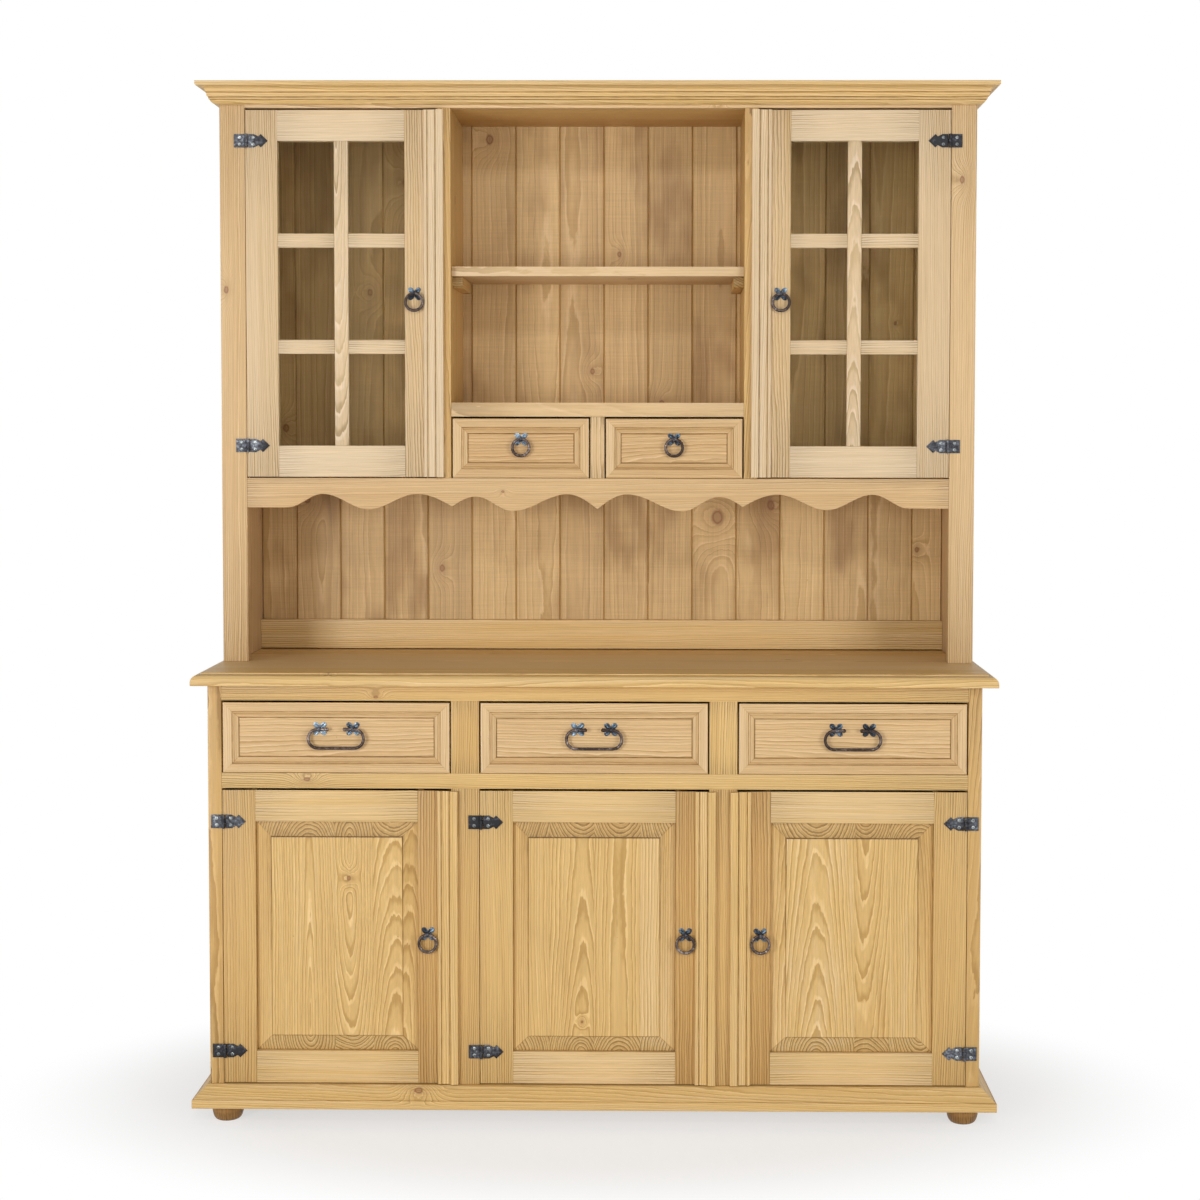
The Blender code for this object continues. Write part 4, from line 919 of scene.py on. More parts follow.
def shelf_cleats():
    """Battens under the shelf with a rounded nose."""
    for name in BOTH_SIDES:
        node = f"shelf_cleat_{name}"
        low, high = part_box(node)
        radius = (high.z - low.z) / 2
        outline = [(high.y, high.z), (low.y, high.z)]
        outline += arc((low.y + radius, low.z + radius), radius, 180, 270, 8) + [(high.y, low.z)]
        piece = Joinery(f"{node}_batten", 0.5)
        piece.lay(eased(prism(outline, low.x, high.x, "X"), 0.0008), "Y", "X")
        piece.hand_over("case", WAXED_PINE, node)


def valance():
    """A board with a scalloped lower edge."""
    low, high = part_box("valance")
    half = high.x
    flat = half - SCALLOP_END_FLAT
    edge = []
    for (share, rise, kind), (next_share, next_rise, next_kind) in zip(SCALLOPS, SCALLOPS[1:]):
        for i in range(SCALLOP_STEPS):
            t = i / SCALLOP_STEPS
            if kind == "cusp":
                bend = math.sin(t * math.pi / 2)
            elif next_kind == "cusp":
                bend = 1 - math.cos(t * math.pi / 2)
            else:
                bend = (1 - math.cos(t * math.pi)) / 2
            edge.append((flat * (share + (next_share - share) * t), low.z + rise + (next_rise - rise) * bend))
    end = low.z + SCALLOPS[-1][1]
    edge += [(flat, end), (half, end)]
    outline = [(half, high.z), (-half, high.z)]
    outline += [(-x, z) for x, z in reversed(edge[1:])] + edge
    piece = Joinery("scalloped_valance", 0.2)
    knot = (Vector((-0.27 * half, low.y, low.z + 0.6 * (high.z - low.z))), 0.0022)
    piece.lay(eased(prism(outline, low.y, high.y, "Y"), 0.0009), "X", "Y", figure=0.0, knot=knot)
    piece.hand_over("case", HUTCH_PINE, "valance")


def cornice():
    """Crown moulding: a round foot, a slanted face, a step, a cove and a lip."""
    low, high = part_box("cornice")
    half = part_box("hutch_face_frame")[1].x
    out, top, tall = high.x - half, high.z, high.z - low.z

    def point(share, drop):
        return share * out, top - drop * tall

    profile = [(FIT, low.z), point(0.06, 1.0)]
    profile += quarter(point(0.06, 1.0), point(0.38, 0.80), "across", 7)
    profile += [point(0.43, 0.79), point(0.445, 0.72), point(0.445, 0.69), point(0.485, 0.675)]
    profile += quarter(point(0.485, 0.675), point(0.535, 0.47), "across", 5)
    profile += [point(0.575, 0.46), point(0.585, 0.41)]
    profile += quarter(point(0.585, 0.41), point(0.91, 0.22), "up", 8)
    profile += [point(0.96, 0.21)]
    profile += quarter(point(0.96, 0.21), point(1.0, 0.15), "across", 4)
    profile += [point(1.0, 0.03)] + quarter(point(1.0, 0.03), point(0.97, 0.0), "up", 3) + [(FIT, top)]
    piece = Joinery("cornice_moulding")
    piece.mitred(profile, half, HUTCH_FACE, high.y)
    piece.hand_over("case", WAXED_PINE, "cornice")


# Repeats made by Geometry Nodes

def geometry_group(name, inputs):
    """An empty geometry tree that takes points, a seed and a material."""
    inputs = {"Geometry": "Geometry", **inputs, "Seed": "Int", "Material": "Material"}
    return node_group(name, "GeometryNodeTree", inputs, {"Geometry": "Geometry"})


def repeated(wiring, points, instance, inputs=()):
    """An instance on each point, made real."""
    inputs = {"Points": points, "Instance": instance, **dict(inputs)}
    spread = wiring.made("GeometryNodeInstanceOnPoints", inputs)
    return wiring.made("GeometryNodeRealizeInstances", {0: spread})


def painted(wiring, given, result, geometry):
    """Ends a geometry tree with its material; gives the tree."""
    inputs = {"Geometry": geometry, "Material": given["Material"]}
    wiring.feed(result["Geometry"], wiring.made("GeometryNodeSetMaterial", inputs))
    return wiring.tree


def grown(tree, spots, finish, values):
    """The plain mesh that a geometry tree makes on a set of points."""
    values = {**values, "Material": finish.material}
    seed_mesh = bpy.data.meshes.new("spots")
    seed_mesh.from_pydata(spots, [], [])
    carrier = stand("spots", seed_mesh)
    modifier = carrier.modifiers.new(tree.name, "NODES")
    modifier.node_group = tree
    for socket in tree.interface.items_tree:
        if socket.in_out == "INPUT" and socket.name in values:
            modifier[socket.identifier] = values[socket.name]
    bpy.context.view_layer.update()
    mesh = bpy.data.meshes.new_from_object(carrier.evaluated_get(bpy.context.evaluated_depsgraph_get()))
    carrier.modifiers.remove(modifier)
    bpy.data.objects.remove(carrier, do_unlink=True)
    return mesh


def screw_tree():
    """Domed heads with a cross recess that look along -Y, each turned by chance."""
    wiring, given, result = geometry_group("crosshead_screws",
                                           {"Head Radius": "Float", "Head Height": "Float"})
    radius, height = given["Head Radius"], given["Head Height"]
    flatten = wiring.combine(1.0, height / radius, 1.0)
    ball = wiring.made("GeometryNodeMeshUVSphere", enumerate((20, 10, radius)))
    head = wiring.made("GeometryNodeTransform", {"Geometry": ball, "Scale": flatten})
    recess = wiring.node("GeometryNodeMeshBoolean", {"Mesh 1": head}, operation="DIFFERENCE")
    long, narrow = radius * 1.30, radius * 0.52
    for size in (wiring.combine(long, height, narrow), wiring.combine(narrow, height, long)):
        bar = wiring.made("GeometryNodeMeshCube", {0: size})
        outward = wiring.combine(0.0, height * -0.75, 0.0)
        moved = wiring.made("GeometryNodeTransform", {"Geometry": bar, "Translation": outward})
        wiring.feed(recess.inputs["Mesh 2"], moved)
    turn = wiring.chance(0.0, math.pi / 2, {"Seed": given["Seed"]})
    heads = repeated(wiring, given["Geometry"], Value(wiring, recess.outputs[0]),
                     {"Rotation": wiring.combine(0.0, turn, 0.0)})
    return painted(wiring, given, result, heads)


SCREWS = screw_tree()


def screws(name, body, spots, seed):
    mesh = grown(SCREWS, spots, ZINC, {"Head Radius": SCREW_R, "Head Height": SCREW_H, "Seed": seed})
    mesh.set_sharp_from_angle(angle=SOFT_ANGLE)
    ride(name, mesh, body, ZINC.slot)


def back_board_tree():
    """Upright boards, their front arrises planed to a V at each joint, each with its own grain."""
    lengths = ("Left", "Right", "First Joint", "Pitch", "Groove Half", "Groove Depth", "Front", "Back",
               "Bottom", "Top")
    wiring, given, result = geometry_group("tongued_back_boards",
                                           {"Boards": "Int", **dict.fromkeys(lengths, "Float")})

    def keep(geometry, name, value, kind="FLOAT"):
        store = wiring.node("GeometryNodeStoreNamedAttribute", {"Geometry": geometry, "Name": name},
                            data_type=kind, domain="POINT")
        wiring.feed(next(s for s in store.inputs if s.name == "Value" and s.enabled), value)
        return Value(wiring, store.outputs[0])

    def chance(low, high, salt):
        return wiring.chance(low, high, {"ID": number, "Seed": given["Seed"] + salt})

    line = wiring.made("GeometryNodeMeshLine", {"Count": given["Boards"], "Offset": (0.0, 0.0, 0.0)})
    points = keep(line, "board", wiring.made("GeometryNodeInputIndex"), "INT")
    blank = wiring.made("GeometryNodeMeshCube", enumerate(((1.0, 1.0, 1.0), 4, 2, 2)))
    blanks = repeated(wiring, points, blank)

    # The edges of each board.
    number = wiring.made("GeometryNodeInputNamedAttribute", {"Name": "board"}, data_type="INT")
    end = number * given["Pitch"] + given["First Joint"]
    right = wiring.math("MINIMUM", end, given["Right"])
    left = wiring.math("MAXIMUM", end - given["Pitch"], given["Left"])
    middle, half = (left + right) * 0.5, (right - left) * 0.5
    tall = given["Top"] - given["Bottom"]

    # Each point of a blank goes to its place on the board.
    blank_x, blank_y, blank_z = wiring.parts(wiring.made("GeometryNodeInputPosition"))
    rim = wiring.math("ABSOLUTE", blank_x).above(0.3)
    reach = half - (1.0 - rim) * given["Groove Half"] - HAIRLINE / 2
    at_back = blank_y.above(0.0)
    sunk = rim * (1.0 - at_back)
    face = sunk * given["Groove Depth"] + given["Front"]
    place = wiring.combine(wiring.math("SIGN", blank_x) * reach + middle,
                           at_back * (given["Back"] - face) + face,
                           blank_z.above(0.0) * tall + given["Bottom"])
    blanks = keep(blanks, "wax_and_shade", sunk * 0.5)
    boards = wiring.made("GeometryNodeSetPosition", {"Geometry": blanks, "Position": place})

    # Grain, and one knot on most boards.
    set_x, set_y, set_z = wiring.parts(wiring.made("GeometryNodeInputPosition"))
    start, aside = chance(0.0, 60.0, 1), chance(-0.06, 0.06, 2)
    depth = set_y - given["Front"] + chance(0.015, 0.06, 3) + set_z * chance(-0.012, 0.012, 4)
    grain = wiring.combine(set_z + start, set_x - middle + aside, depth)
    knot_share = wiring.math("POWER", chance(0.0, 1.0, 6), 2.0) * 0.85 + 0.09
    knot_size = wiring.math("MAXIMUM", chance(-0.003, 0.009, 8), 0.0)
    for board, share, size in BACK_KNOTS:
        here = wiring.math("COMPARE", number, board, 0.5)
        knot_share += here * (share - knot_share)
        knot_size += here * (size - knot_size)
    knot_run = knot_share * tall + given["Bottom"] + start
    knot = wiring.combine(knot_run, chance(-0.03, 0.03, 7) + aside, knot_size)
    for name, value in (("grain", grain), ("fibre", (0.0, 0.0, 1.0)), ("knot", knot)):
        boards = keep(boards, name, value, "FLOAT_VECTOR")
    for name, value in (("bold", 1.0), ("tone", chance(-0.4, 0.5, 5))):
        boards = keep(boards, name, value)
    return painted(wiring, given, result, boards)


def hutch_back():
    low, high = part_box("hutch_back_boards")
    first = math.ceil((low.x + GROOVE_W - BACKBOARD_SHIFT) / BACKBOARD_PITCH)
    last = math.floor((high.x - GROOVE_W - BACKBOARD_SHIFT) / BACKBOARD_PITCH)
    mesh = grown(back_board_tree(), [(0.0, 0.0, 0.0)], SAWN_PINE, {
        "Boards": last - first + 2, "Left": low.x, "Right": high.x, "Pitch": BACKBOARD_PITCH,
        "First Joint": BACKBOARD_SHIFT + first * BACKBOARD_PITCH, "Groove Half": GROOVE_W / 2,
        "Groove Depth": GROOVE_D, "Front": low.y, "Back": high.y, "Bottom": low.z, "Top": high.z, "Seed": 5})
    ride("hutch_back_tongued_boards", mesh, "case", SAWN_PINE.slot, "hutch_back_boards")


# Ironwork

def knuckle(x, y, z0, z1):
    """A rolled barrel with its rims broken."""
    rim = BARREL_RIM
    profile = [(BARREL_R - rim, z0), (BARREL_R, z0 + rim), (BARREL_R, z1 - rim), (BARREL_R - rim, z1)]
    return turned(profile, (x, y, 0.0), sides=24)


def flat_leaf(outline, front, back):
    """A sheet-iron leaf in the XZ plane with filed edges."""
    return eased(prism(outline, front, back, "Y"), FILED)


def hinge_places(door):
    """Barrel axis, way from the barrel into the door, and the heights of a door's two hinges."""
    joint = joints[f"{door}_swing"]
    out = 1 if joint["axis"][2] < 0 else -1
    levels = {}
    for level in ("lower", "upper"):
        levels[level] = sum(corner.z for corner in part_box(f"{door}_{level}_hinge")) / 2
    return joint["pos_m"][0], joint["pos_m"][1], out, levels


def case_hinge(door, level, axis_x, axis_y, out, z):
    """Case leaf with the outer knuckles and the pin."""
    node = f"{door}_{level}_hinge"
    face = axis_y + HINGE_OUT - FIT
    half, slot = HINGE_H / 2, HINGE_H / 6 + FIT
    clear = BARREL_R + FIT
    points = [(0, half), (-CASE_LEAF_L, half), (-CASE_LEAF_L, -half), (0, -half), (0, -slot), (-clear, -slot),
              (-clear, slot), (0, slot)]
    piece = Piece(f"{node}_leaf_and_pin")
    piece.add(flat_leaf([(axis_x + out * u, z + v) for u, v in points], face - LEAF_T, face))
    piece.add(knuckle(axis_x, axis_y, z - half, z - slot))
    piece.add(knuckle(axis_x, axis_y, z + slot, z + half))
    tip, dome = 0.3 * PIN_R, half + PIN_DOME
    pin = [(tip, z - dome), (PIN_R, z - half), (PIN_R, z + half), (tip, z + dome)]
    piece.add(turned(pin, (axis_x, axis_y, 0.0), sides=16))
    piece.hand_over("case", BURNISHED_IRON, node)
    spots = [(axis_x - out * SCREW_ALONG, face - LEAF_T, z + way * SCREW_APART) for way in (-1, 1)]
    screws(f"{node}_case_screws", "case", spots, len(node) + int(1000 * z))


def door_leaf(piece, axis_x, axis_y, out, z):
    """Arrow-headed leaf with the middle knuckle; gives its screw places."""
    face = axis_y + HINGE_OUT
    half, third = HINGE_H / 2, HINGE_H / 6 - FIT
    clear = BARREL_R + 2 * FIT
    upper = [(0, third), (clear, third), (clear, half), (LEAF_SHOULDER, half), (LEAF_NECK, LEAF_NECK_HALF),
             (LEAF_BARB, half), (LEAF_TIP, 0)]
    outline = upper + [(u, -v) for u, v in reversed(upper[:-1])]
    piece.add(flat_leaf([(axis_x + out * u, z + v) for u, v in outline], face - LEAF_T, face))
    piece.add(knuckle(axis_x, axis_y, z - third, z + third))
    return [(axis_x + out * SCREW_ALONG, face - LEAF_T, z + way * SCREW_APART) for way in (-1, 1)]


def rosette(x, face, z):
    """Four pressed leaves, veined down the middle and dished towards the eye."""
    rings = []
    for share, lift in ROSETTE_DISH:
        ring = []
        for angle in angles(ROSETTE_SIDES):
            leaf = abs(math.sin(2 * angle))
            reach = share * (ROSETTE_IN + (ROSETTE_OUT - ROSETTE_IN) * leaf ** 1.1)
            vein = 0.35 * max(0.0, leaf - 0.96) / 0.04 if 0.3 < share < 0.97 else 0.0
            rise = ROSETTE_T * (lift * (0.45 + 0.55 * leaf) - vein if lift > 0.3 else lift)
            ring.append((x + reach * math.cos(angle), face - rise, z + reach * math.sin(angle)))
        rings.append(ring)
    return loft(rings)


def eye(x, face, z, wire):
    """The loop that a pull hangs in: a short barrel on a neck."""
    bore = wire + EYE_CLEARANCE
    outer, half, rim = bore + EYE_WALL, EYE_W / 2, EYE_RIM
    profile = [(bore, -half), (outer - rim, -half), (outer, -half + rim), (outer, half - rim),
               (outer - rim, half), (bore, half)]
    middle, neck = face - PULL_STANDOFF, 0.55 * outer
    return (turned(profile, (x, middle, z), "X", 24, looped=True),
            eased(block((x - half, middle + bore, z - neck), (x + half, face, z + neck))))


def pull_mounts(name, body, face, wire, spots):
    """Rosettes and eyes of a pull."""
    plates, eyes = Piece(f"{name}_rosettes"), Piece(f"{name}_eyes")
    for x, z in spots:
        plates.add(rosette(x, face, z))
        for shape in eye(x, face, z, wire):
            eyes.add(shape)
    plates.hand_over(body, BLUED_STEEL)
    eyes.hand_over(body, BURNISHED_IRON)


def ring_wire(pivot):
    """A ring of twisted square iron."""
    path = []
    for angle in angles(RING_STEPS):
        path.append(pivot + RING_RADIUS * Vector((math.sin(angle), 0.0, math.cos(angle) - 1)))
    return tube(path, [RING_WIRE_R] * RING_STEPS, looped=True, turns=RING_TWISTS, edge=0.05)


def bail_wire(pivot):
    """A wire bail with ball ends, open between them."""
    ball, straight = BAIL_WIRE_R * BAIL_BALL, BAIL_HALF_LENGTH - BAIL_HALF_DROP
    half = [(BAIL_END_X + ball * step, 0.0, BAIL_BALL * swell) for step, swell in BAIL_SWELL]
    half += [(x, z, 1.0) for x, z in arc((straight, -BAIL_HALF_DROP), BAIL_HALF_DROP, 90, -90, 20)]
    half += [(0.5 * straight, -2 * BAIL_HALF_DROP, 1.0)]
    whole = half + [(-x, z, swell) for x, z, swell in reversed(half)]
    path = [pivot + Vector((x, 0.0, z)) for x, z, swell in whole]
    return tube(path, [BAIL_WIRE_R * swell for x, z, swell in whole])


def pull(owner, kind, face):
    """A ring or a bail with its mounts, on a door or a drawer."""
    node = f"{owner}_{kind}"
    pivot = Vector(joints[f"{node}_swing"]["pos_m"])
    if kind == "bail":
        wire, places, shape = BAIL_WIRE_R, (-BAIL_EYE_X, BAIL_EYE_X), bail_wire(pivot)
    else:
        wire, places, shape = RING_WIRE_R, (0.0,), ring_wire(pivot)
    pull_mounts(f"{owner}_pull", owner, face, wire, [(pivot.x + x, pivot.z) for x in places])
    piece = Piece(f"{node}_wire")
    piece.add(shape)
    piece.hand_over(node, BROWNED_IRON, node)


# Doors

def seat_outline(outer, inner, face, seat, seat_t):
    """Section of a frame member with a groove in its inner edge, as (in, deep)."""
    back = face + FRAME_T
    way = 1 if inner > outer else -1
    groove = inner - way * SEAT_D
    return [(outer, face), (inner, face), (inner, seat), (groove, seat), (groove, seat + seat_t),
            (inner, seat + seat_t), (inner, back), (outer + way * BACK_BEVEL, back)]


def undercut(shape, low, high):
    """Planes both ends of a stile back from its face."""
    back = max(vert.co.y for vert in shape.verts)
    for vert in shape.verts:
        if vert.co.y > back - FIT:
            vert.co.z += BACK_BEVEL if vert.co.z < (low + high) / 2 else -BACK_BEVEL
    return shape


def door_frame(piece, low, high, face, seat, seat_t, out):
    """Two full stiles with rails between them round an opening; the hinge stile fills most of its gap."""
    foot, top = low.z - DOOR_FRAME_W, high.z + DOOR_FRAME_W - TOP_GAP
    for side, inner in ((-1, low.x), (1, high.x)):
        hung = side == -out
        outer = inner + side * (DOOR_FRAME_W + (HINGE_GAP_FILL if hung else 0.0))
        outline = seat_outline(outer, inner, face, seat, seat_t)
        shape = undercut(prism(outline, foot, top, "Z"), low.z, high.z)
        look, heart = HINGE_STILE, None
        if not hung:
            over = Vector((outer + side * 0.012, face, low.z))
            look, heart = LOCK_STILE, (over, 0.03, piece.chance.choice((-0.02, 0.02)))
        piece.lay(eased(shape), "Z", "Y", figure=0.0, heart=heart, **look)
    for outer, inner in ((foot, low.z), (top, high.z)):
        outline = [(y, z) for z, y in seat_outline(outer, inner, face, seat, seat_t)]
        rail = eased(prism(outline, low.x + HAIRLINE, high.x - HAIRLINE, "X"))
        piece.lay(rail, "X", "Y", figure=0.0, **DOOR_RAIL)


def closing_strip(piece, lock_x, face, low, high, out):
    """A bead, a hollow and a raised flat with a rounded outer edge, along the lock stile."""
    edge, bead = -STRIP_ON_DOOR, STRIP_BEAD_R
    foot, hollow = edge + 2 * bead, 0.45 * STRIP_T
    nose = STRIP_OVERLAP - STRIP_NOSE_R
    points = [(edge, 0.0), (edge, 0.5 * bead)]
    points += arc((edge + bead, 0.5 * bead), bead, 165, 20, 10) + [(foot, hollow)]
    points += quarter((foot, hollow), (-0.0012, 0.72 * STRIP_T), "across", 6)
    points += [(0.0, 0.70 * STRIP_T), (0.0008, STRIP_T - 0.0006), (0.0014, STRIP_T), (nose, STRIP_T)]
    points += quarter((nose, STRIP_T), (STRIP_OVERLAP, STRIP_T - STRIP_NOSE_R), "across", 5)
    points += [(STRIP_OVERLAP, STRIP_LIFT), (-REVEAL, STRIP_LIFT), (-REVEAL, 0.0)]
    outline, wax_and_shade = creased([(lock_x + out * u, face - v) for u, v in points])
    piece.lay(prism(outline, low, high, "Z", wax_and_shade), "Z", "Y", figure=0.0, **CLOSING_STRIP)


def glazing_bars(piece, low, high, face):
    """One upright bar crossed by two level ones, before the glass."""
    middle, back = (low.x + high.x) / 2, face + BAR_T
    pane = (high.z - low.z - 2 * BAR_W) / 3
    left, right = middle - BAR_W / 2, middle + BAR_W / 2
    for z in (low.z + pane, low.z + 2 * pane + BAR_W):
        for x0, x1 in ((low.x, left), (right, high.x)):
            piece.board((x0, face, z), (x1, back, z + BAR_W), "X", "Y", BAR_EASE, figure=0.0)
    piece.board((left, face, low.z), (right, back, high.z), "Z", "Y", BAR_EASE, figure=3.0, bold=0.9)


def door_round(door, filling, face, finish, set_in, thick):
    """Frame, closing strip, hinges and pull of a door round its panel or its glass."""
    grip = SEAT_D - FIT
    low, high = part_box(f"{door}_{filling}")
    low, high = low + Vector((grip, 0, grip)), high - Vector((grip, 0, grip))
    axis_x, axis_y, out, levels = hinge_places(door)
    wood = Joinery(f"{door}_stiles_and_rails", knots=0.0)
    door_frame(wood, low, high, face, face + set_in, thick + 2 * FIT, out)
    lock_x = high.x + DOOR_FRAME_W if out > 0 else low.x - DOOR_FRAME_W
    closing_strip(wood, lock_x, face, low.z - DOOR_FRAME_W, high.z + DOOR_FRAME_W - TOP_GAP, out)
    if filling == "glass":
        glazing_bars(wood, low, high, face)
    wood.hand_over(door, finish, f"{door}_frame")
    leaves = Piece(f"{door}_hinge_leaves")
    spots = []
    for level, z in levels.items():
        spots += door_leaf(leaves, axis_x, axis_y, out, z)
        case_hinge(door, level, axis_x, axis_y, out, z)
    leaves.hand_over(door, BURNISHED_IRON)
    screws(f"{door}_leaf_screws", door, spots, len(door))
    pull(door, "ring", face)


def raised_panel(door):
    """Boards glued up, bevelled all round with a small step to the raised field."""
    node = f"{door}_panel"
    low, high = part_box(node)
    front = BASE_FACE + PANEL_SET + FIT
    ridge, bevel_end = front - PANEL_BEVEL_RISE, SEAT_D + PANEL_BEVEL_W
    field = ridge - PANEL_STEP_RISE
    # Inset and depth of each ring, with the wax along its lower and its upper edge; the upper edge holds
    # more, which paints the shadow along the top step of the raised field besides the wax there
    steps = [(0.0, front + PANEL_TONGUE, 0.0, 0.0), (0.0, front, 0.0, 0.0),
             (SEAT_D - 0.0006, front, 0.95, 0.95), (SEAT_D + 0.0016, front - 0.0003, 0.05, 0.2),
             (bevel_end - 0.0024, ridge + 0.0005, 0.0, 0.45), (bevel_end - 0.0004, ridge, 0.55, 1.0),
             (bevel_end + 0.4 * PANEL_STEP_W, field + 0.0003, 0.1, 0.6),
             (bevel_end + PANEL_STEP_W, field, 0.0, 0.0)]
    rings, wax_and_shade = [], []
    for inset, y, low_wax, top_wax_and_shadow in steps:
        x0, x1, z0, z1 = low.x + inset, high.x - inset, low.z + inset, high.z - inset
        # Along the bevels' mitres a dark line is painted: painted shade marking where two differently lit
        # bevels meet.
        mitre = MITRE_WAX_AND_SHADE if SEAT_D < inset < bevel_end else 0.0
        ring, dark = [], []
        for x, z, right, up, settled in ((x0, z0, 1, 1, low_wax), (x1, z0, -1, 1, low_wax),
                                         (x1, z1, -1, -1, top_wax_and_shadow), (x0, z1, 1, -1, top_wax_and_shadow)):
            beside = [(x, y, z + up * MITRE_REACH), (x + right * MITRE_REACH, y, z)]
            if right != up:
                beside.reverse()
            ring += [beside[0], (x, y, z), beside[1]]
            dark += [settled, max(settled, mitre), settled]
        rings.append(ring)
        wax_and_shade.append(dark)
    piece = Joinery(f"{door}_raised_field", 0.05, 0.0)
    piece.soft_angle = PANEL_ANGLE
    boards, span = PANEL_BOARDS[door], high - low
    lines = [low.x + edge * span.x for edge, *rest in boards[:-1]]
    for board, (edge, heart, depth, lean, knot) in zip(sawn(loft(rings, wax_and_shade), "X", lines), boards):
        over = low + Vector((heart * span.x, 0.0, 0.0))
        if knot:
            knot = (low + Vector((knot[0] * span.x, 0.0, knot[1] * span.z)), knot[2])
        piece.lay(board, "Z", "Y", heart=(over, depth, lean), knot=knot, steep=3.0, bold=1.5)
    piece.hand_over(door, WAXED_PINE, node)


# Drawers

def drawer_front(piece, low, high, face):
    """A sunk panel in a mitred border with a quirk, a cove and a fillet."""
    def at(across, down):
        return DRAWER_BORDER + across * DRAWER_MOULD_W, down * DRAWER_RECESS

    def corner(side, inset, end):
        xs, zs = (low.x + inset, high.x - inset), (low.z + inset, high.z - inset)
        return {"foot": (xs[end], zs[0]), "top": (xs[end], zs[1]),
                "left": (xs[0], zs[end]), "right": (xs[1], zs[end])}[side]

    def darker(wax_and_shade, level, start):
        return [max(dark, level if start < inset < inner else 0.0)
                for dark, (inset, rise) in zip(wax_and_shade, profile)]

    inner, deep = at(1.0, 1.0)
    profile = [(BACK_BEVEL, FRAME_T), (0.0, 0.0008), (0.0008, 0.0)]
    profile += [at(0.0, 0.0), at(0.08, 0.22), at(0.28, 0.22)]
    profile += quarter(at(0.28, 0.22), at(0.80, 0.76), "up", 6)
    profile += [at(0.92, 0.76), (inner, deep), (inner, FRAME_T)]
    profile, wax_and_shade = creased(profile)
    # The corner where the moulding meets the sunk panel is fully dark: wax in the corner and painted shade
    # falling into the recess.
    wax_and_shade[-2] = 1.0
    # The whole cove gets a light coat: wax and painted shade that make the recess look deeper.
    wax_and_shade = darker(wax_and_shade, 0.25, at(0.1, 0.0)[0])
    mitre = darker(wax_and_shade, MITRE_WAX_AND_SHADE, DRAWER_BORDER)
    # Each side of the border takes its tone from the table: painted light and shade for the way that side
    # faces.
    for side, along, tone in DRAWER_SIDES_WITH_PAINTED_SHADE:
        ends = []
        for end, step in ((0, 0.0), (0, MITRE_REACH), (1, -MITRE_REACH), (1, 0.0)):
            places = [spot("Y", face + depth, corner(side, inset, end)) for inset, depth in profile]
            ends.append([place + AXES[along] * step for place in places])
        piece.lay(loft(ends, [mitre, wax_and_shade, wax_and_shade, mitre]), along, "Y", figure=0.0, shade=tone, bold=1.2)
    # The sunk panel's rim ring is fully dark: painted shade round the recessed panel as well as wax in its
    # corner.
    rings = []
    for inset, y in ((0.0, FRAME_T), (0.0, deep), (DRAWER_RIM, deep)):
        x0, z0 = corner("foot", inner + inset, 0)
        x1, z1 = corner("top", inner + inset, 1)
        rings.append([(x, face + y, z) for x, z in ((x0, z0), (x1, z0), (x1, z1), (x0, z1))])
    x0, z0 = corner("foot", inner, 0)
    heart = (Vector((x0, face, z0 - 0.015)), 0.045, piece.chance.uniform(-0.04, 0.04))
    piece.lay(loft(rings, [[0.0] * 4, [1.0] * 4, [0.0] * 4]), "X", "Y", heart=heart, **SUNK_PANEL)


def drawer(node, face, kind, shade):
    """A moulded front on a plain box, with its pull."""
    low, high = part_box(node)
    piece = Joinery(f"{node}_front_and_box", shade, 0.0)
    front_low = Vector((low.x + END_GAP, 0.0, low.z - FIT + DRAWER_FOOT_GAP))
    drawer_front(piece, front_low, high - Vector((END_GAP, 0.0, TOP_GAP)), face)
    front, rear, top = face + FRAME_T, high.y, high.z - BOX_DROP
    left, right, wall = low.x + BOX_WALL, high.x - BOX_WALL, rear - BOX_WALL
    for x0, x1 in ((low.x, left), (right, high.x)):
        piece.board((x0, front, low.z), (x1, rear, top), "Y", "X", shade=BOX_SHADE)
    piece.board((left, wall, low.z), (right, rear, top), "X", "Y", shade=BOX_SHADE)
    piece.panel((left, front, low.z), (right, wall, low.z + BOX_BOTTOM_T), "X", "Y", 0.12, BOTTOM_EASE,
                shade=BOX_SHADE)
    piece.hand_over(node, HUTCH_PINE, node)
    pull(node, kind, face + DRAWER_RECESS)


# Studio

def studio_world(ambient):
    """Even light all round, and a white background wherever it is seen or mirrored."""
    world = bpy.data.worlds.new("white_studio")
    world.use_nodes = True
    wiring = Wiring(world.node_tree)
    background = world.node_tree.nodes["Background"].inputs
    background["Color"].default_value = (1.0, 1.0, 1.0, 1.0)
    wiring.feed(background["Strength"], wiring.seen() * (1.0 - ambient) + ambient)
    bpy.context.scene.world = world


def studio_floor():
    """A pale floor that keeps the shadow and fades into the background."""
    work = bmesh.new()
    bmesh.ops.create_circle(work, cap_ends=True, segments=64, radius=9.0)
    mesh = bpy.data.meshes.new("studio_floor")
    work.to_mesh(mesh)
    work.free()
    made, wiring, shader = material("pale_floor")
    shader.inputs["Base Color"].default_value = (0.93, 0.93, 0.93, 1.0)
    shader.inputs["Roughness"].default_value = 0.9
    shader.inputs["Specular IOR Level"].default_value = 0.1
    place = wiring.vector("MULTIPLY", wiring.made("ShaderNodeTexCoord", output="Object"), (0.8, 1.4, 1.0))
    away = wiring.fade(wiring.vector("LENGTH", place), 0.55, 1.0)
    share = wiring.seen() * (away * 0.4 + 0.6)
    white = wiring.made("ShaderNodeEmission")
    mix = wiring.made("ShaderNodeMixShader", enumerate((share, Value(wiring, shader.outputs[0]), white)))
    wiring.feed(made.node_tree.nodes["Material Output"].inputs["Surface"], mix)
    mesh.materials.append(made)
    stand("studio_floor", mesh)


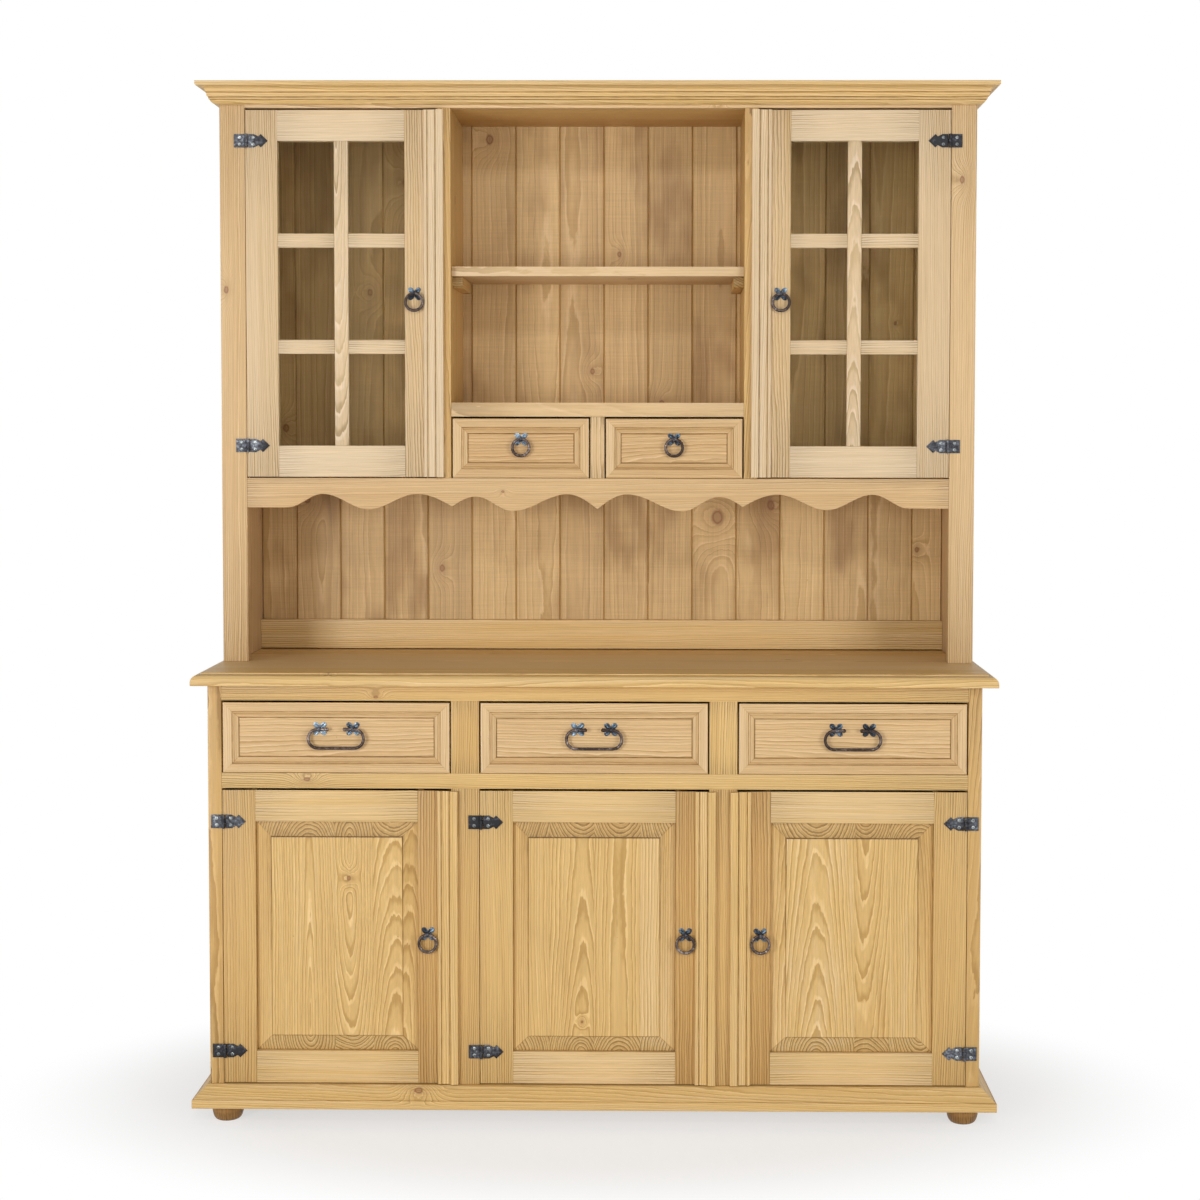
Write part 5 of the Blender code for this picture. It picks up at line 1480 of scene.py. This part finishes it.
def soft_box(name, place, aim, size, watts):
    light = bpy.data.lights.new(name, "AREA")
    light.shape, light.size, light.energy = "SQUARE", size, watts
    lamp = stand(name, light)
    lamp.location = place
    lamp.rotation_euler = (Vector(aim) - Vector(place)).to_track_quat("-Z", "Y").to_euler()


def camera():
    """A standing viewpoint a little right of the middle, looking slightly down."""
    yaw, pitch, roll = 0.01064, 0.04475, 0.00149
    forward = Vector((-math.sin(yaw) * math.cos(pitch), math.cos(yaw) * math.cos(pitch), -math.sin(pitch)))
    level = Vector((math.cos(yaw), math.sin(yaw), 0.0))
    rise = level.cross(forward)
    right = math.cos(roll) * level + math.sin(roll) * rise
    up = math.cos(roll) * rise - math.sin(roll) * level
    lens = bpy.data.cameras.new("viewpoint")
    lens.sensor_width, lens.lens = 36.0, 60.01
    lens.shift_x, lens.shift_y = -0.0379, -0.0680
    viewpoint = stand("viewpoint", lens)
    turn = Matrix((right, up, -forward)).transposed().to_4x4()
    viewpoint.matrix_world = Matrix.Translation((0.1393, -4.0389, 1.3516)) @ turn
    bpy.context.scene.camera = viewpoint


for make in (base_sides, base_partitions, base_bottom, base_face_frame, plinth, countertop, hutch_face_frame,
             flat_boards, shelf_cleats, hutch_back, valance, cornice):
    make()
for place in ("left", "middle", "right"):
    door_round(f"base_door_{place}", "panel", BASE_FACE, WAXED_PINE, PANEL_SET, PANEL_TONGUE)
    raised_panel(f"base_door_{place}")
    drawer(f"drawer_{place}", BASE_FACE, "bail", 0.0)
for place in BOTH_SIDES:
    door_round(f"glazed_door_{place}", "glass", HUTCH_FACE, PALE_PINE, BAR_T, GLASS_T)
    glass = frame["nodes"][f"glazed_door_{place}_glass"].data.materials
    glass.clear()
    glass.append(CLEAR_GLASS)
    drawer(f"small_drawer_{place}", HUTCH_FACE, "ring", 0.2)

studio_world(0.30)
studio_floor()
soft_box("key", (-2.8, -4.2, 1.3), (0.0, 0.0, 0.9), 1.4, 93.0)
soft_box("fill", (3.2, -3.8, 1.3), (0.0, 0.0, 0.9), 1.6, 65.0)
soft_box("crisp", (0.2, -4.6, 3.7), (0.0, 0.0, 1.2), 0.5, 37.0)
camera()
bpy.context.scene.view_settings.view_transform = "Standard"
